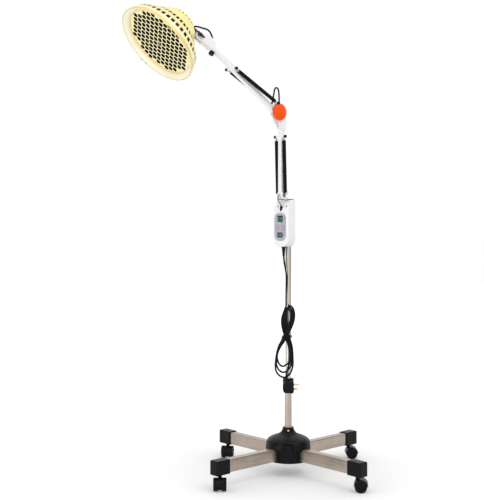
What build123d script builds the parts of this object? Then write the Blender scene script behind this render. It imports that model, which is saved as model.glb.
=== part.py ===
from build123d import *

import os
from math import asin, cos, hypot, pi, radians, sin, sqrt, tan

os.makedirs("parts", exist_ok=True)

# Frame: millimetres, +Z up. The origin is on the floor, on the axis of the posts.
# The spring arms work in the YZ plane and the lamp head reaches out toward -Y.

# ---- Driving dimensions ----------------------------------------------------

# Fits
push_fit = 0.1  # all-round clearance of pieces pushed together
pin_fit = 0.05  # radial clearance of pins, stems and slides
free_gap = 0.3  # gap between pieces that move past each other

# Base
leg_span = 306.0  # radius of the end faces of the caps
leg_width = 25.0
leg_height = 38.0
leg_wall = 1.5
leg_corner = 3.0
leg_centre_z = 67.0
leg_start = 26.0
hub_radius = 64.0
hub_bottom = 43.0
hub_top = 100.0
cap_length = 50.0
cap_width = 33.0
cap_height = 43.0
cap_end_wall = 4.0
cap_corner = 4.0
cap_end_round = 3.5
cover_top = 144.0
cover_bottom = 79.0
neck_radius = 16.5
cover_radius = 71.3

# Castors
wheel_radius = 18.0
wheel_width = 13.0
castor_width = 38.0
castor_trail = 10.0
castor_inset = 25.0  # from the leg's end face to the castor's stem
castor_circle = leg_span - castor_inset
stem_radius = 4.0
stem_top = 66.0
hood_radius = 20.5
castor_axle_radius = 3.0
castor_web_inset = 3.0  # the web between the wheels ends this far inside their tread
castor_axle_sink = 1.0  # the axle ends this far inside the wheels
castor_neck_bottom = 31.0
castor_neck_height = 10.0
wheel_edge = 2.0
wheel_face_groove = (5.0, 12.0)  # radii of the sunken ring in each outer face
wheel_groove_depth = 2.0
wheel_gap = 0.9  # between the wheels and the hood round them
castors = {  # leg direction and trailing direction, degrees from +X toward +Y
    "front": (-90.0, -42.5),
    "right": (0.0, 40.0),
    "rear": (90.0, 47.5),
    "left": (180.0, -50.0),
}

# Posts
lower_post_radius = 11.0
lower_post_bore = 9.35
lower_post_bottom = 58.0
lower_post_top = 282.0
post_plug = 8.0
upper_post_radius = 9.0
upper_post_bore = 7.5
upper_post_bottom = 175.0
collar_radius = 17.0
collar_bottom = 256.0
collar_top = 294.0
lock_height = 275.0
lock_angle = 137.5
lock_stud_radius = 3.0
lock_stud_length = 16.0
lock_knob_radius = 12.5
lock_knob_height = 13.0
lock_knob_base = 5.0  # from the collar to the knob
lock_neck = (6.0, 1.5, 4.0)  # radius, distance from the collar, height
flute_circle = 14.5
flute_radius = 4.0
flute_count = 6
collar_edge = 2.0
foot_plate_width = 40.0
foot_plate_front = -32.0
foot_plate_rear = 8.0
foot_plate_corner = 6.0
swivel_pin_radius = 6.0

# Control box
box_width = 64.0
box_bottom = 702.0
box_top = 846.0
box_front_y = -35.0
box_parting_y = -12.0
box_rear_y = -2.0
box_wall = 2.5
box_lower_corner = 24.0
box_upper_corner = 8.0
slope_top_y = -14.0  # the sloping shoulder starts here on the box's top
slope_end_z = 810.0  # and meets the front face here
boss_width = 26.0
boss_rear_y = 13.0
panel_width = 50.0
panel_bottom = 720.0
panel_height = 86.0
panel_corner = 19.0
panel_thickness = 1.2
panel_recess = 0.8
rocker_opening = (19.2, 13.2)
indicator_hole = 1.7
button_gap = 0.4
display_width = 23.5
display_height = 19.5
display_z = 788.0
button_x = 12.0
button_z = 762.0
button_radius = 6.7
rocker_z = 738.0
rocker_tilt = 10.0  # the rocker rests this far to one side of its middle
indicator_x = 20.3
indicator_z = 791.0
board_front_y = -27.0
board_thickness = 1.6
board_size = (46.0, 66.0)
board_z = 782.0
tact_switch = (6.0, 6.0, 1.6)
box_front_round = 4.0
support_radius = 2.5
box_screw = (3.2, 1.4, 1.5, 6.0)  # head radius and height, shank radius and length
boss_corner = 6.0
boss_wall = 4.0
post_sleeve_wall = 2.4
switch_bezel = (21.0, 15.0)
switch_body = (19.0, 13.0)
switch_inside = (17.0, 11.0)
bezel_height = 1.2
switch_depth = 14.0
rocker_pivot_y = -32.4
rocker_pin_radius = 1.2
rocker_radius = 8.2
rocker_height = 10.4
rocker_crest = 5.2  # from the pivot to the middle of its face
rocker_half_width = 9.0
rocker_back = 4.5
button_flange = 1.5
button_flange_height = 1.6
button_back_y = -30.6
button_height = 5.8
button_stem = (2.0, 1.0, -29.9)  # radius, length, back face
button_edge = 0.6
top_gland_y = -30.5
top_gland_radius = 4.4
top_gland_core = 3.0
top_gland_sink = 4.0
top_gland_body = 12.0
top_gland_tip = 9.0
bottom_gland_y = -20.0
bottom_gland_radius = 7.0
bottom_gland_core = 3.5
bottom_gland_flange = 2.5

# Mains cord
cord_radius = 2.8
cord_gland_bottom = 690.0
cord_points = [
    (0.0, -20.0, cord_gland_bottom),
    (0.0, -20.0, 672.0),
    (1.5, -18.8, 652.0),
    (6.0, -16.4, 630.0),
    (9.0, -16.0, 608.0),
    (8.8, -16.6, 582.0),
    (8.6, -17.6, 556.0),
    (10.6, -19.6, 536.0),
    (14.2, -22.6, 519.0),
]
hank_angle = -42.5  # direction that the flat side of the hank faces
hank_offset = 26.6  # from the post's axis to the hank's middle plane
hank_thickness = 16.0
plug_offset = 28.0

# Arms: the lower arm stands upright, the upper one reaches forward and up
foot_y = -22.0  # axis of the arm's swivel
foot_plate_thickness = 2.5
yoke_bottom = 848.8
yoke_plate = 2.2
arm_tube = 15.0
arm_wall = 1.5
arm_corner = 1.5
lower_pivot = (-30.0, 859.2)  # Y, Z
lower_anchor = (-29.5, 867.0)
lower_pin = (-35.0, 1040.0)
lower_arm_top = 1100.0
elbow = (-55.0, 1113.0)
elbow_anchor = (-63.4, 1139.7)
upper_arm_rise = 33.3  # degrees above level
upper_arm_tail = 8.0
upper_arm_length = 284.0
upper_pin_along = 214.0
upper_pin_drop = 4.0
sleeve_radius = 5.0
sleeve_x = 16.3
stud_overhang = 3.8  # the anchor pins reach this far past the sleeves' axes
spring_hook_radius = 1.4
anchor_pin_radius = 2.3
cheek_thickness = 2.5
cheek_gap = 0.7  # between the lower arm and each cheek of its yoke
pivot_radius = 3.0
elbow_stud_radius = 4.0
elbow_knob_radius = 25.0
elbow_knob_edge = 12.0  # height of its side
elbow_knob_dome = 5.0
elbow_knob_round = 1.5
cable_radius = 2.5

# Knuckle between the upper arm and the head
knuckle_roll = -5.72  # the knuckle's rest turn about the upper arm
socket_start = upper_arm_length - 12.0
socket_end = upper_arm_length + 24.0
socket_radius = 11.0
spigot_radius = 7.0
clamp_along = upper_arm_length + 15.0
knuckle_width = 26.0
fork_gap = 12.8
hinge_along = upper_arm_length + 86.0
hinge_drop = 7.0
hinge_radius = 3.0

# Head
head_axis_vector = Vector(-0.0969, -0.7257, -0.6812).normalized()  # the way the lamp faces
hinge_behind_rim = 129.0
hinge_off_axis = 60.5
rim_radius = 122.5
sheet = 1.5
shade_back = 98.0
dome_top = 117.5
guard_radius = 108.5
guard_opening = 104.0  # inner radius of the ring that holds the guard
guard_depth = 14.0
guard_pitch = 16.8
guard_hole = 12.2  # across flats
guard_field = 99.0  # radius of the circle that holds the holes' centres
lattice_angle = 16.1
plate_radius = 83.0


def save(piece, label):
    """Name a finished piece and write it as its own file."""
    piece.part.label = label
    export_step(piece.part, f"parts/{label}.step")


def radial_plane(angle, radius, height):
    """Upright plane facing outward at an angle about the post, its y up."""
    a = radians(angle)
    return Plane(
        origin=(radius * cos(a), radius * sin(a), height),
        x_dir=(-sin(a), cos(a), 0),
        z_dir=(cos(a), sin(a), 0),
    )


def screw(plane, head_radius, head_height, shank_radius, shank_length):
    """A screw in the current part: its head in front of the plane, its shank behind."""
    rod(plane, head_radius, head_height)
    rod(plane, shank_radius, -shank_length)


def rod(plane, radius, length):
    """A round bar in the current part, from the plane along its normal."""
    with BuildSketch(plane) as section:
        Circle(radius)
    extrude(section.sketch, amount=length)


def bore(plane, radius, length):
    """A round hole in the current part, from the plane along its normal."""
    with BuildSketch(plane) as section:
        Circle(radius)
    extrude(section.sketch, amount=length, mode=Mode.SUBTRACT)


def link(plane, circles, thickness):
    """A plate in the current part: the hull of circles given as (centre, radius)."""
    with BuildSketch(plane) as outline:
        for centre, radius in circles:
            with Locations(centre):
                Circle(radius)
        make_hull()
    extrude(outline.sketch, amount=thickness)


def cable(label, points, radius):
    """A cord along rounded runs; each corner takes 0.45 of its shorter run."""
    corners = []
    for before, corner, after in zip(points, points[1:], points[2:]):
        incoming = Vector(*corner) - Vector(*before)
        outgoing = Vector(*after) - Vector(*corner)
        half_turn = radians(incoming.get_angle(outgoing)) / 2
        corners.append(0.45 * min(incoming.length, outgoing.length) / tan(half_turn))
    with BuildPart() as cord:
        with BuildLine() as route:
            FilletPolyline(*points, radius=corners)
        start = Vector(*points[1]) - Vector(*points[0])
        with BuildSketch(Plane(origin=points[0], z_dir=start)):
            Circle(radius)
        sweep(path=route.wire())
    run = route.wire().length
    share = cord.part.volume / (pi * radius**2 * run)
    print(label, "radii", [round(r, 1) for r in corners])
    print(label, "length", round(run, 1), "volume over section times length", round(share, 4))
    save(cord, label)


leg_angles = [0.0, 90.0, 180.0, 270.0]
leg_planes = [radial_plane(a, leg_start, leg_centre_z) for a in leg_angles]

# ---- Hub -------------------------------------------------------------------

relief_circle = 40.0
relief_radius = 12.0
relief_depth = 46.0
leg_screw_circle = 46.0
leg_screw_radius = 2.5
leg_screw_length = 10.0
screw_head_radius = 5.0
screw_head_height = 2.8
hub_bolt_radius = 4.0
hub_bolt_head = 6.5
hub_bolt_recess = 6.0
hub_bolt_length = 22.0
hub_bolt_sink = 0.5  # the bolt's head sits this far inside the hub's bottom face
hub_edge = 1.5
cover_outer_profile = [  # radius, height
    (neck_radius, cover_top), (18.7, 135.0), (25.0, 126.0), (39.0, 119.0),
    (53.6, 113.0), (62.8, 107.0), (68.9, 96.0), (cover_radius, cover_bottom),
]
cover_skirt_inside = [(66.2, 93.0), (64.2, hub_top)]
cover_skirt_foot = 68.3
cover_seat_radius = 61.0
cover_ceiling = [(56.0, 105.5), (47.0, 110.5), (34.0, 115.5), (21.0, 121.5)]
neck_floor = 126.0
skirt_gap = (0.6, 0.4)  # round each leg, sideways and upward
notch_plane_radius = 55.0
notch_half = 17.5
notch_depth = 25.0
notch_tip = 4.0  # how far the notch's upper corners are drawn in
notch_outline = [
    (-notch_half, 78.0), (-notch_half, 90.0), (-notch_half + notch_tip, 96.5), (-notch_half, 103.0),
    (notch_half, 103.0), (notch_half - notch_tip, 96.5), (notch_half, 90.0), (notch_half, 78.0),
]
pocket_angle = -45.0
pocket_depth_radius = 13.5
pocket_height = 134.5
pocket_size = (15.6, 11.0)
pocket_corner = 2.5
pocket_reach = 20.0
neck_screw_radius = 1.5
neck_screw_head = (3.2, 2.0)  # radius, height
neck_screw_length = 2.3

with BuildPart() as hub_body:
    rod(Plane.XY.offset(hub_bottom), hub_radius, hub_top - hub_bottom)
    chamfer(hub_body.faces().sort_by(Axis.Z)[0].edges(), hub_edge)
    bore(Plane.XY.offset(lower_post_bottom), lower_post_radius + push_fit, hub_top)
    with BuildSketch(*leg_planes):
        RectangleRounded(leg_width + 2 * push_fit, leg_height + 2 * push_fit, leg_corner)
    extrude(amount=hub_radius, mode=Mode.SUBTRACT)
    with BuildSketch(Plane.XY.offset(hub_bottom)):
        with PolarLocations(relief_circle, 4, start_angle=45):
            Circle(relief_radius)
    extrude(amount=relief_depth, mode=Mode.SUBTRACT)
    with BuildSketch(Plane.XY.offset(hub_bottom)):
        with PolarLocations(leg_screw_circle, 4):
            Circle(leg_screw_radius + push_fit)
        Circle(hub_bolt_radius + push_fit)
    extrude(amount=leg_height / 2, mode=Mode.SUBTRACT)
    bore(Plane.XY.offset(hub_bottom), hub_bolt_head + hub_bolt_sink, hub_bolt_recess)
save(hub_body, "hub_body")

with BuildPart() as hub_cover:
    with BuildSketch(Plane.XZ):
        with BuildLine():
            bore_radius = lower_post_radius + push_fit
            crown = Spline(*cover_outer_profile)
            skirt_foot = Line(crown @ 1, (cover_skirt_foot, cover_bottom))
            inner_skirt = Spline(skirt_foot @ 1, *cover_skirt_inside)
            seat = Line(inner_skirt @ 1, (cover_seat_radius, hub_top))
            ceiling = Spline(seat @ 1, *cover_ceiling)
            step = Line(ceiling @ 1, (bore_radius, neck_floor))
            neck_bore = Line(step @ 1, (bore_radius, cover_top))
            Line(neck_bore @ 1, crown @ 0)
        make_face()
    revolve(axis=Axis.Z)
    # The legs leave through four square notches in the skirt
    with BuildSketch(*leg_planes):
        RectangleRounded(leg_width + 2 * skirt_gap[0], leg_height + 2 * skirt_gap[1], leg_corner)
    extrude(amount=cover_radius, mode=Mode.SUBTRACT)
    # Between the legs the skirt is cut higher, with pointed corners
    with BuildSketch(*[radial_plane(a + 45, notch_plane_radius, 0) for a in leg_angles]):
        Polygon(*notch_outline, align=None)
    extrude(amount=notch_depth, mode=Mode.SUBTRACT)
    # Screw pocket in the neck
    pocket = radial_plane(pocket_angle, pocket_depth_radius, pocket_height)
    with BuildSketch(pocket):
        RectangleRounded(*pocket_size, pocket_corner)
    extrude(amount=pocket_reach, mode=Mode.SUBTRACT)
    bore(pocket.offset(-neck_screw_length - 1.7), neck_screw_radius + push_fit, 5)
save(hub_cover, "hub_cover")

with BuildPart() as base_screws:
    with PolarLocations(leg_screw_circle, 4) as ring:
        spots = ring.locations
    for spot in spots:
        under = Plane(origin=(spot.position.X, spot.position.Y, hub_bottom), z_dir=(0, 0, -1))
        screw(under, screw_head_radius, screw_head_height, leg_screw_radius, leg_screw_length)
    bolt_bottom = Plane.XY.offset(hub_bottom + hub_bolt_sink)
    rod(bolt_bottom, hub_bolt_head, hub_bolt_recess - hub_bolt_sink)
    rod(bolt_bottom, hub_bolt_radius, hub_bolt_length)
    screw(pocket, *neck_screw_head, neck_screw_radius, neck_screw_length)
save(base_screws, "base_screws")

# ---- Legs ------------------------------------------------------------------

leg_end = leg_span - cap_end_wall
cap_start = leg_span - cap_length
cap_planes = [radial_plane(a, cap_start, leg_centre_z) for a in leg_angles]

with BuildPart() as legs:
    with BuildSketch(*leg_planes):
        RectangleRounded(leg_width, leg_height, leg_corner)
        RectangleRounded(
            leg_width - 2 * leg_wall, leg_height - 2 * leg_wall, leg_corner - leg_wall,
            mode=Mode.SUBTRACT,
        )
    extrude(amount=leg_end - leg_start)
    with BuildSketch(Plane.XY.offset(hub_bottom)):
        with PolarLocations(castor_circle, 4):
            Circle(stem_radius + 1)
        with PolarLocations(leg_screw_circle, 4):
            Circle(leg_screw_radius + push_fit)
    extrude(amount=leg_height / 2, mode=Mode.SUBTRACT)
save(legs, "legs")

with BuildPart() as leg_caps:
    with BuildSketch(*cap_planes):
        RectangleRounded(cap_width, cap_height, cap_corner)
    extrude(amount=cap_length)
    end_faces = [f for f in leg_caps.faces() if hypot(f.center().X, f.center().Y) > leg_span - 0.1]
    fillet([edge for face in end_faces for edge in face.edges()], cap_end_round)
    # Groove that takes the tube's walls, so that the cap has a sleeve and a plug
    with BuildSketch(*cap_planes):
        RectangleRounded(
            leg_width + 2 * push_fit, leg_height + 2 * push_fit, leg_corner + push_fit
        )
        RectangleRounded(
            leg_width - 2 * leg_wall - 2 * push_fit,
            leg_height - 2 * leg_wall - 2 * push_fit,
            leg_corner - leg_wall - push_fit,
            mode=Mode.SUBTRACT,
        )
    extrude(amount=leg_end + push_fit - cap_start, mode=Mode.SUBTRACT)
    with BuildSketch(Plane.XY.offset(hub_bottom)):
        with PolarLocations(castor_circle, 4):
            Circle(stem_radius + pin_fit)
    extrude(amount=stem_top + 1 - hub_bottom, mode=Mode.SUBTRACT)
save(leg_caps, "leg_caps")

# ---- Castors ---------------------------------------------------------------

web_half = castor_width / 2 - wheel_width - free_gap
fender_inner = wheel_radius + wheel_gap


def build_castor(place, leg_angle, trail_angle):
    """A swivelling twin-wheel castor: hood with its stem, and wheels on their axle."""
    leg = radians(leg_angle)
    trail = radians(trail_angle)
    stem_x = castor_circle * cos(leg)
    stem_y = castor_circle * sin(leg)
    axle_plane = Plane(
        origin=(stem_x + castor_trail * cos(trail), stem_y + castor_trail * sin(trail), wheel_radius),
        x_dir=(cos(trail), sin(trail), 0),
        z_dir=(sin(trail), -cos(trail), 0),
    )
    with BuildPart() as hood:
        with BuildSketch(axle_plane):
            Circle(hood_radius)
            with Locations((0, -hood_radius / 2)):
                Rectangle(2 * hood_radius, hood_radius, mode=Mode.SUBTRACT)
            Circle(wheel_radius - castor_web_inset)
        extrude(amount=web_half, both=True)
        with BuildSketch(axle_plane):
            Circle(hood_radius)
            Circle(fender_inner, mode=Mode.SUBTRACT)
            with Locations((0, -hood_radius / 2)):
                Rectangle(2 * hood_radius, hood_radius, mode=Mode.SUBTRACT)
        extrude(amount=castor_width / 2, both=True)
        neck_plane = Plane(origin=(stem_x, stem_y, castor_neck_bottom))
        rod(neck_plane, web_half, castor_neck_height)
        rod(neck_plane, stem_radius, stem_top - castor_neck_bottom)
        bore(axle_plane.offset(-castor_width / 2), castor_axle_radius + pin_fit, castor_width)
    save(hood, f"castor_hood_{place}")

    with BuildPart() as wheels:
        with BuildSketch(
            axle_plane.offset(castor_width / 2 - wheel_width), axle_plane.offset(-castor_width / 2)
        ):
            Circle(wheel_radius)
        extrude(amount=wheel_width)
        rims = wheels.edges().filter_by(GeomType.CIRCLE)
        fillet(rims, wheel_edge)
        with BuildSketch(
            axle_plane.offset(castor_width / 2), axle_plane.offset(-castor_width / 2)
        ):
            Circle(wheel_face_groove[1])
            Circle(wheel_face_groove[0], mode=Mode.SUBTRACT)
        extrude(amount=wheel_groove_depth, both=True, mode=Mode.SUBTRACT)
        axle_end = axle_plane.offset(-castor_width / 2 + castor_axle_sink)
        rod(axle_end, castor_axle_radius, castor_width - 2 * castor_axle_sink)
    save(wheels, f"castor_wheels_{place}")


for place, (leg_angle, trail_angle) in castors.items():
    build_castor(place, leg_angle, trail_angle)

# ---- Posts and height lock -------------------------------------------------

lock_plane = radial_plane(lock_angle, 0, lock_height)

with BuildPart() as lower_post:
    rod(Plane.XY.offset(lower_post_bottom), lower_post_radius, lower_post_top - lower_post_bottom)
    bore(Plane.XY.offset(lower_post_bottom + post_plug), lower_post_bore, lower_post_top)
    bore(Plane.XY.offset(lower_post_bottom), hub_bolt_radius + pin_fit, post_plug)
    bore(lock_plane, lock_stud_radius + 5 * push_fit, 2 * lower_post_radius)
save(lower_post, "lower_post")

with BuildPart() as post_collar:
    with BuildSketch(Plane.XZ):
        with BuildLine():
            Polyline(
                (lower_post_radius + pin_fit, collar_bottom),
                (collar_radius, collar_bottom),
                (collar_radius, collar_top),
                (upper_post_radius + 2 * pin_fit, collar_top),
                (upper_post_radius + 2 * pin_fit, lower_post_top),
                (lower_post_radius + pin_fit, lower_post_top),
                close=True,
            )
        make_face()
    revolve(axis=Axis.Z)
    outer_edges = post_collar.edges().filter_by(
        lambda e: e.geom_type == GeomType.CIRCLE and e.radius > collar_radius - 0.1
    )
    fillet(outer_edges, collar_edge)
    bore(lock_plane, lock_stud_radius + pin_fit, 2 * collar_radius)
save(post_collar, "post_collar")

with BuildPart() as lock_knob:
    tip_plane = lock_plane.offset(upper_post_radius + free_gap + push_fit)
    rod(tip_plane, lock_stud_radius, lock_stud_length)
    with BuildSketch(lock_plane.offset(collar_radius + lock_knob_base)):
        Circle(lock_knob_radius)
        with PolarLocations(flute_circle, flute_count):
            Circle(flute_radius, mode=Mode.SUBTRACT)
    extrude(amount=lock_knob_height)
    neck_radius_of_knob, neck_start, neck_height = lock_neck
    rod(lock_plane.offset(collar_radius + neck_start), neck_radius_of_knob, neck_height)
    outward = Axis(origin=(0, 0, 0), direction=lock_plane.z_dir)
    fillet(lock_knob.faces().sort_by(outward)[-1].edges(), collar_edge)
save(lock_knob, "lock_knob")

with BuildPart() as upper_post:
    rod(Plane.XY.offset(upper_post_bottom), upper_post_radius, box_top - upper_post_bottom)
    bore(Plane.XY.offset(upper_post_bottom), upper_post_bore, box_top - upper_post_bottom)
    with BuildSketch(Plane.XY.offset(box_top)):
        with Locations((0, (foot_plate_front + foot_plate_rear) / 2)):
            foot_plate_depth = foot_plate_rear - foot_plate_front
            RectangleRounded(foot_plate_width, foot_plate_depth, foot_plate_corner)
        with Locations((0, foot_y)):
            Circle(swivel_pin_radius + pin_fit, mode=Mode.SUBTRACT)
    extrude(amount=foot_plate_thickness)
save(upper_post, "upper_post")

# ---- Control box -----------------------------------------------------------

slope = Vector(0, box_front_y - slope_top_y, slope_end_z - box_top).normalized()
slope_plane = Plane(
    origin=(0, slope_top_y, box_top), x_dir=(1, 0, 0), z_dir=(0, slope.Z, -slope.Y)
)
slope_screws = [(-18.5, -24.0), (18.5, -24.0)]
front_plane = Plane.XZ.offset(-box_front_y)  # faces -Y, x to +X, y up
post_supports = [(-20.5, 752.5), (20.5, 752.5), (-20.5, 803.0), (20.5, 803.0)]


def box_outline(inset):
    """Front view of the box in the current sketch, inset all round."""
    with Locations((0, (box_bottom + box_top) / 2)):
        outline = Rectangle(box_width - 2 * inset, box_top - box_bottom - 2 * inset)
    low = outline.vertices().group_by(Axis.Y)[0]
    high = outline.vertices().group_by(Axis.Y)[-1]
    fillet(low, box_lower_corner - inset)
    fillet(high, box_upper_corner - inset)


with BuildPart() as front_cavity:
    with BuildSketch(Plane.XZ.offset(-box_parting_y)):
        box_outline(box_wall)
    extrude(amount=box_parting_y - box_front_y - box_wall)
    split(bisect_by=slope_plane.offset(-box_wall), keep=Keep.BOTTOM)

with BuildPart() as box_front:
    with BuildSketch(Plane.XZ.offset(-box_parting_y)):
        box_outline(0)
    extrude(amount=box_parting_y - box_front_y)
    split(bisect_by=slope_plane, keep=Keep.BOTTOM)
    front_edges = box_front.faces().sort_by(Axis.Y)[0].edges()
    fillet(front_edges, box_front_round)
    add(front_cavity.part, mode=Mode.SUBTRACT)
    # Recess for the panel, and the openings behind it
    with BuildSketch(front_plane):
        with Locations((0, panel_bottom + panel_height / 2)):
            RectangleRounded(panel_width + 0.2, panel_height + 0.2, panel_corner)
    extrude(amount=-panel_recess, mode=Mode.SUBTRACT)
    with BuildSketch(front_plane):
        with Locations((0, display_z)):
            Rectangle(display_width, display_height)
        with Locations((0, rocker_z)):
            Rectangle(*rocker_opening)
        with Locations((-button_x, button_z), (button_x, button_z)):
            Circle(button_radius + button_gap)
        with Locations((indicator_x, indicator_z)):
            Circle(indicator_hole)
    extrude(amount=-2 * box_wall, mode=Mode.SUBTRACT)
    with BuildSketch(Plane.XZ.offset(-board_front_y)):
        with Locations(*post_supports):
            Circle(support_radius)
    extrude(amount=board_front_y - box_front_y - box_wall)
    with BuildSketch(slope_plane.offset(-2 * box_wall)):
        with Locations(*slope_screws):
            Circle(box_screw[2] + push_fit)
    extrude(amount=4 * box_wall, mode=Mode.SUBTRACT)
    bottom_hole = Plane.XY.offset(box_bottom) * Pos(0, bottom_gland_y, 0)
    bore(bottom_hole, bottom_gland_core + push_fit, 2 * box_wall)
    top_hole = Plane.XY.offset(slope_end_z - 2 * box_wall) * Pos(0, top_gland_y, 0)
    bore(top_hole, top_gland_core + push_fit, box_top - slope_end_z)
save(box_front, "box_front")

with BuildPart() as box_rear:
    with BuildSketch(Plane.XZ.offset(-box_rear_y)):
        box_outline(0)
    extrude(amount=box_rear_y - box_parting_y)
    with BuildSketch(Plane.XY.offset(box_bottom + 1)):
        with Locations((0, (boss_rear_y - box_wall - boss_wall) / 2)):
            RectangleRounded(boss_width, boss_rear_y + box_wall + boss_wall, boss_corner)
    extrude(amount=box_top - box_bottom - 1)
    with BuildSketch(Plane.XZ.offset(-box_rear_y + box_wall)):
        box_outline(box_wall)
    extrude(amount=box_rear_y - box_wall - box_parting_y, mode=Mode.SUBTRACT)
    sleeve_bottom = Plane.XY.offset(box_bottom + box_wall)
    rod(sleeve_bottom, upper_post_radius + post_sleeve_wall, box_top - box_bottom - box_wall)
    bore(Plane.XY.offset(box_bottom), upper_post_radius + pin_fit, box_top - box_bottom)
save(box_rear, "box_rear")

panel_front_y = box_front_y + panel_recess - panel_thickness
with BuildPart() as control_panel:
    with BuildSketch(Plane.XZ.offset(-box_front_y - panel_recess)):
        with Locations((0, panel_bottom + panel_height / 2)):
            RectangleRounded(panel_width, panel_height, panel_corner)
        with Locations((0, display_z)):
            Rectangle(display_width, display_height, mode=Mode.SUBTRACT)
        with Locations((0, rocker_z)):
            Rectangle(*rocker_opening, mode=Mode.SUBTRACT)
        with Locations((-button_x, button_z), (button_x, button_z)):
            Circle(button_radius + button_gap, mode=Mode.SUBTRACT)
        with Locations((indicator_x, indicator_z)):
            Circle(indicator_hole, mode=Mode.SUBTRACT)
    extrude(amount=panel_thickness)
save(control_panel, "control_panel")

panel_plane = Plane.XZ.offset(-panel_front_y)
with BuildPart() as display_module:
    with BuildSketch(Plane.XZ.offset(-board_front_y)):
        with Locations((0, display_z)):
            Rectangle(display_width - 0.2, display_height - 0.2)
        with Locations((indicator_x, indicator_z)):
            Circle(1.5)
    extrude(amount=board_front_y - panel_front_y)
save(display_module, "display_module")

with BuildPart() as circuit_board:
    with BuildSketch(Plane.XZ.offset(-board_front_y)):
        with Locations((0, board_z)):
            Rectangle(*board_size)
    extrude(amount=-board_thickness)
    with BuildSketch(Plane.XZ.offset(-board_front_y)):
        with Locations((-button_x, button_z), (button_x, button_z)):
            Rectangle(*tact_switch[:2])
    extrude(amount=tact_switch[2])
save(circuit_board, "circuit_board")

with BuildPart() as switch_frame:
    with BuildSketch(panel_plane):
        with Locations((0, rocker_z)):
            RectangleRounded(*switch_bezel, 1)
    extrude(amount=bezel_height)
    with BuildSketch(panel_plane):
        with Locations((0, rocker_z)):
            Rectangle(*switch_body)
    extrude(amount=-switch_depth)
    with BuildSketch(panel_plane.offset(bezel_height)):
        with Locations((0, rocker_z)):
            Rectangle(*switch_inside)
    extrude(amount=1 - switch_depth, mode=Mode.SUBTRACT)
    pin_bottom = Plane.XY.offset(rocker_z - switch_depth / 2) * Pos(0, rocker_pivot_y, 0)
    bore(pin_bottom, rocker_pin_radius + pin_fit, switch_depth)
save(switch_frame, "switch_frame")

# The rocker's sides are round about its pivot, so the gap stays even as it rocks
with BuildPart() as rocker:
    a = radians(rocker_tilt)
    side_crest = rocker_half_width * tan(a) - rocker_crest
    rocker_plane = Plane(
        origin=(0, rocker_pivot_y, rocker_z - rocker_height / 2),
        x_dir=(cos(a), sin(a), 0),
        z_dir=(0, 0, 1),
    )
    with BuildSketch(rocker_plane):
        Circle(rocker_radius)
        Polygon(
            (0, -rocker_crest),
            (rocker_half_width, side_crest),
            (rocker_half_width, rocker_back),
            (-rocker_half_width, rocker_back),
            (-rocker_half_width, side_crest),
            align=None,
            mode=Mode.INTERSECT,
        )
    extrude(amount=rocker_height)
    rod(rocker_plane.offset(-1), rocker_pin_radius, rocker_height + 2)
save(rocker, "rocker")

for label, side in (("time_button", -1), ("temp_button", 1)):
    with BuildPart() as button:
        centre = Pos(side * button_x, button_z, 0)
        button_back = Plane.XZ.offset(-button_back_y) * centre
        rod(button_back, button_radius + button_flange, button_flange_height)
        rod(button_back, button_radius, button_height)
        stem_of_button, stem_length, stem_back_y = button_stem
        rod(Plane.XZ.offset(-stem_back_y) * centre, stem_of_button, stem_length)
        rim = button.edges().filter_by(GeomType.CIRCLE).sort_by(Axis.Y)[0]
        fillet(rim, button_edge)
    save(button, label)

with BuildPart() as box_screws:
    for x, y in slope_screws:
        screw(slope_plane * Pos(x, y, 0), *box_screw)
save(box_screws, "box_screws")

with BuildPart() as top_gland:
    gland_bottom = Plane.XY.offset(slope_end_z - top_gland_sink) * Pos(0, top_gland_y, 0)
    gland_shoulder_z = slope_end_z - top_gland_sink + top_gland_body
    rod(gland_bottom, top_gland_radius, top_gland_body)
    with BuildSketch(Plane.XY.offset(gland_shoulder_z) * Pos(0, top_gland_y, 0)):
        Circle(top_gland_radius)
    extrude(amount=top_gland_tip, taper=6)
    split(bisect_by=slope_plane, keep=Keep.TOP)
    rod(gland_bottom, top_gland_core, top_gland_body)
    gland_mouth = Plane.XY.offset(gland_shoulder_z + 5) * Pos(0, top_gland_y, 0)
    bore(gland_mouth, cable_radius + free_gap, 10)
save(top_gland, "top_gland")

with BuildPart() as bottom_gland:
    gland_plane = Plane.XY.offset(box_bottom) * Pos(0, bottom_gland_y, 0)
    rod(gland_plane, bottom_gland_core, 2 * box_wall)
    rod(gland_plane, bottom_gland_radius, -bottom_gland_flange)
    with BuildSketch(Plane.XY.offset(cord_gland_bottom) * Pos(0, bottom_gland_y, 0)):
        Circle(cord_radius + 1)
    extrude(amount=box_bottom - bottom_gland_flange - cord_gland_bottom, taper=-9)
save(bottom_gland, "bottom_gland")

# ---- Mains cord, its hank and the plug -------------------------------------

cable("mains_cord", cord_points, cord_radius)

hank_normal = Vector(cos(radians(hank_angle)), sin(radians(hank_angle)), 0)
hank_across = Vector(-hank_normal.Y, hank_normal.X, 0)
hank_plane = Plane(
    origin=hank_normal * (hank_offset - hank_thickness / 2), x_dir=hank_across, z_dir=hank_normal
)
with BuildPart() as cord_hank:
    with BuildSketch(hank_plane):
        with BuildLine():
            Spline(
                (-3, 527), (-18, 517), (-24, 480), (-19, 440), (-17, 418), (-28, 390),
                (-43, 350), (-40, 312), (-15, 299), (10, 312), (14, 350), (3, 392),
                (-3, 418), (10, 440), (19, 480), (13, 517),
                periodic=True,
            )
        make_face()
    extrude(amount=hank_thickness)
    fillet(cord_hank.edges(), 4)
save(cord_hank, "cord_hank")

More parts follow.
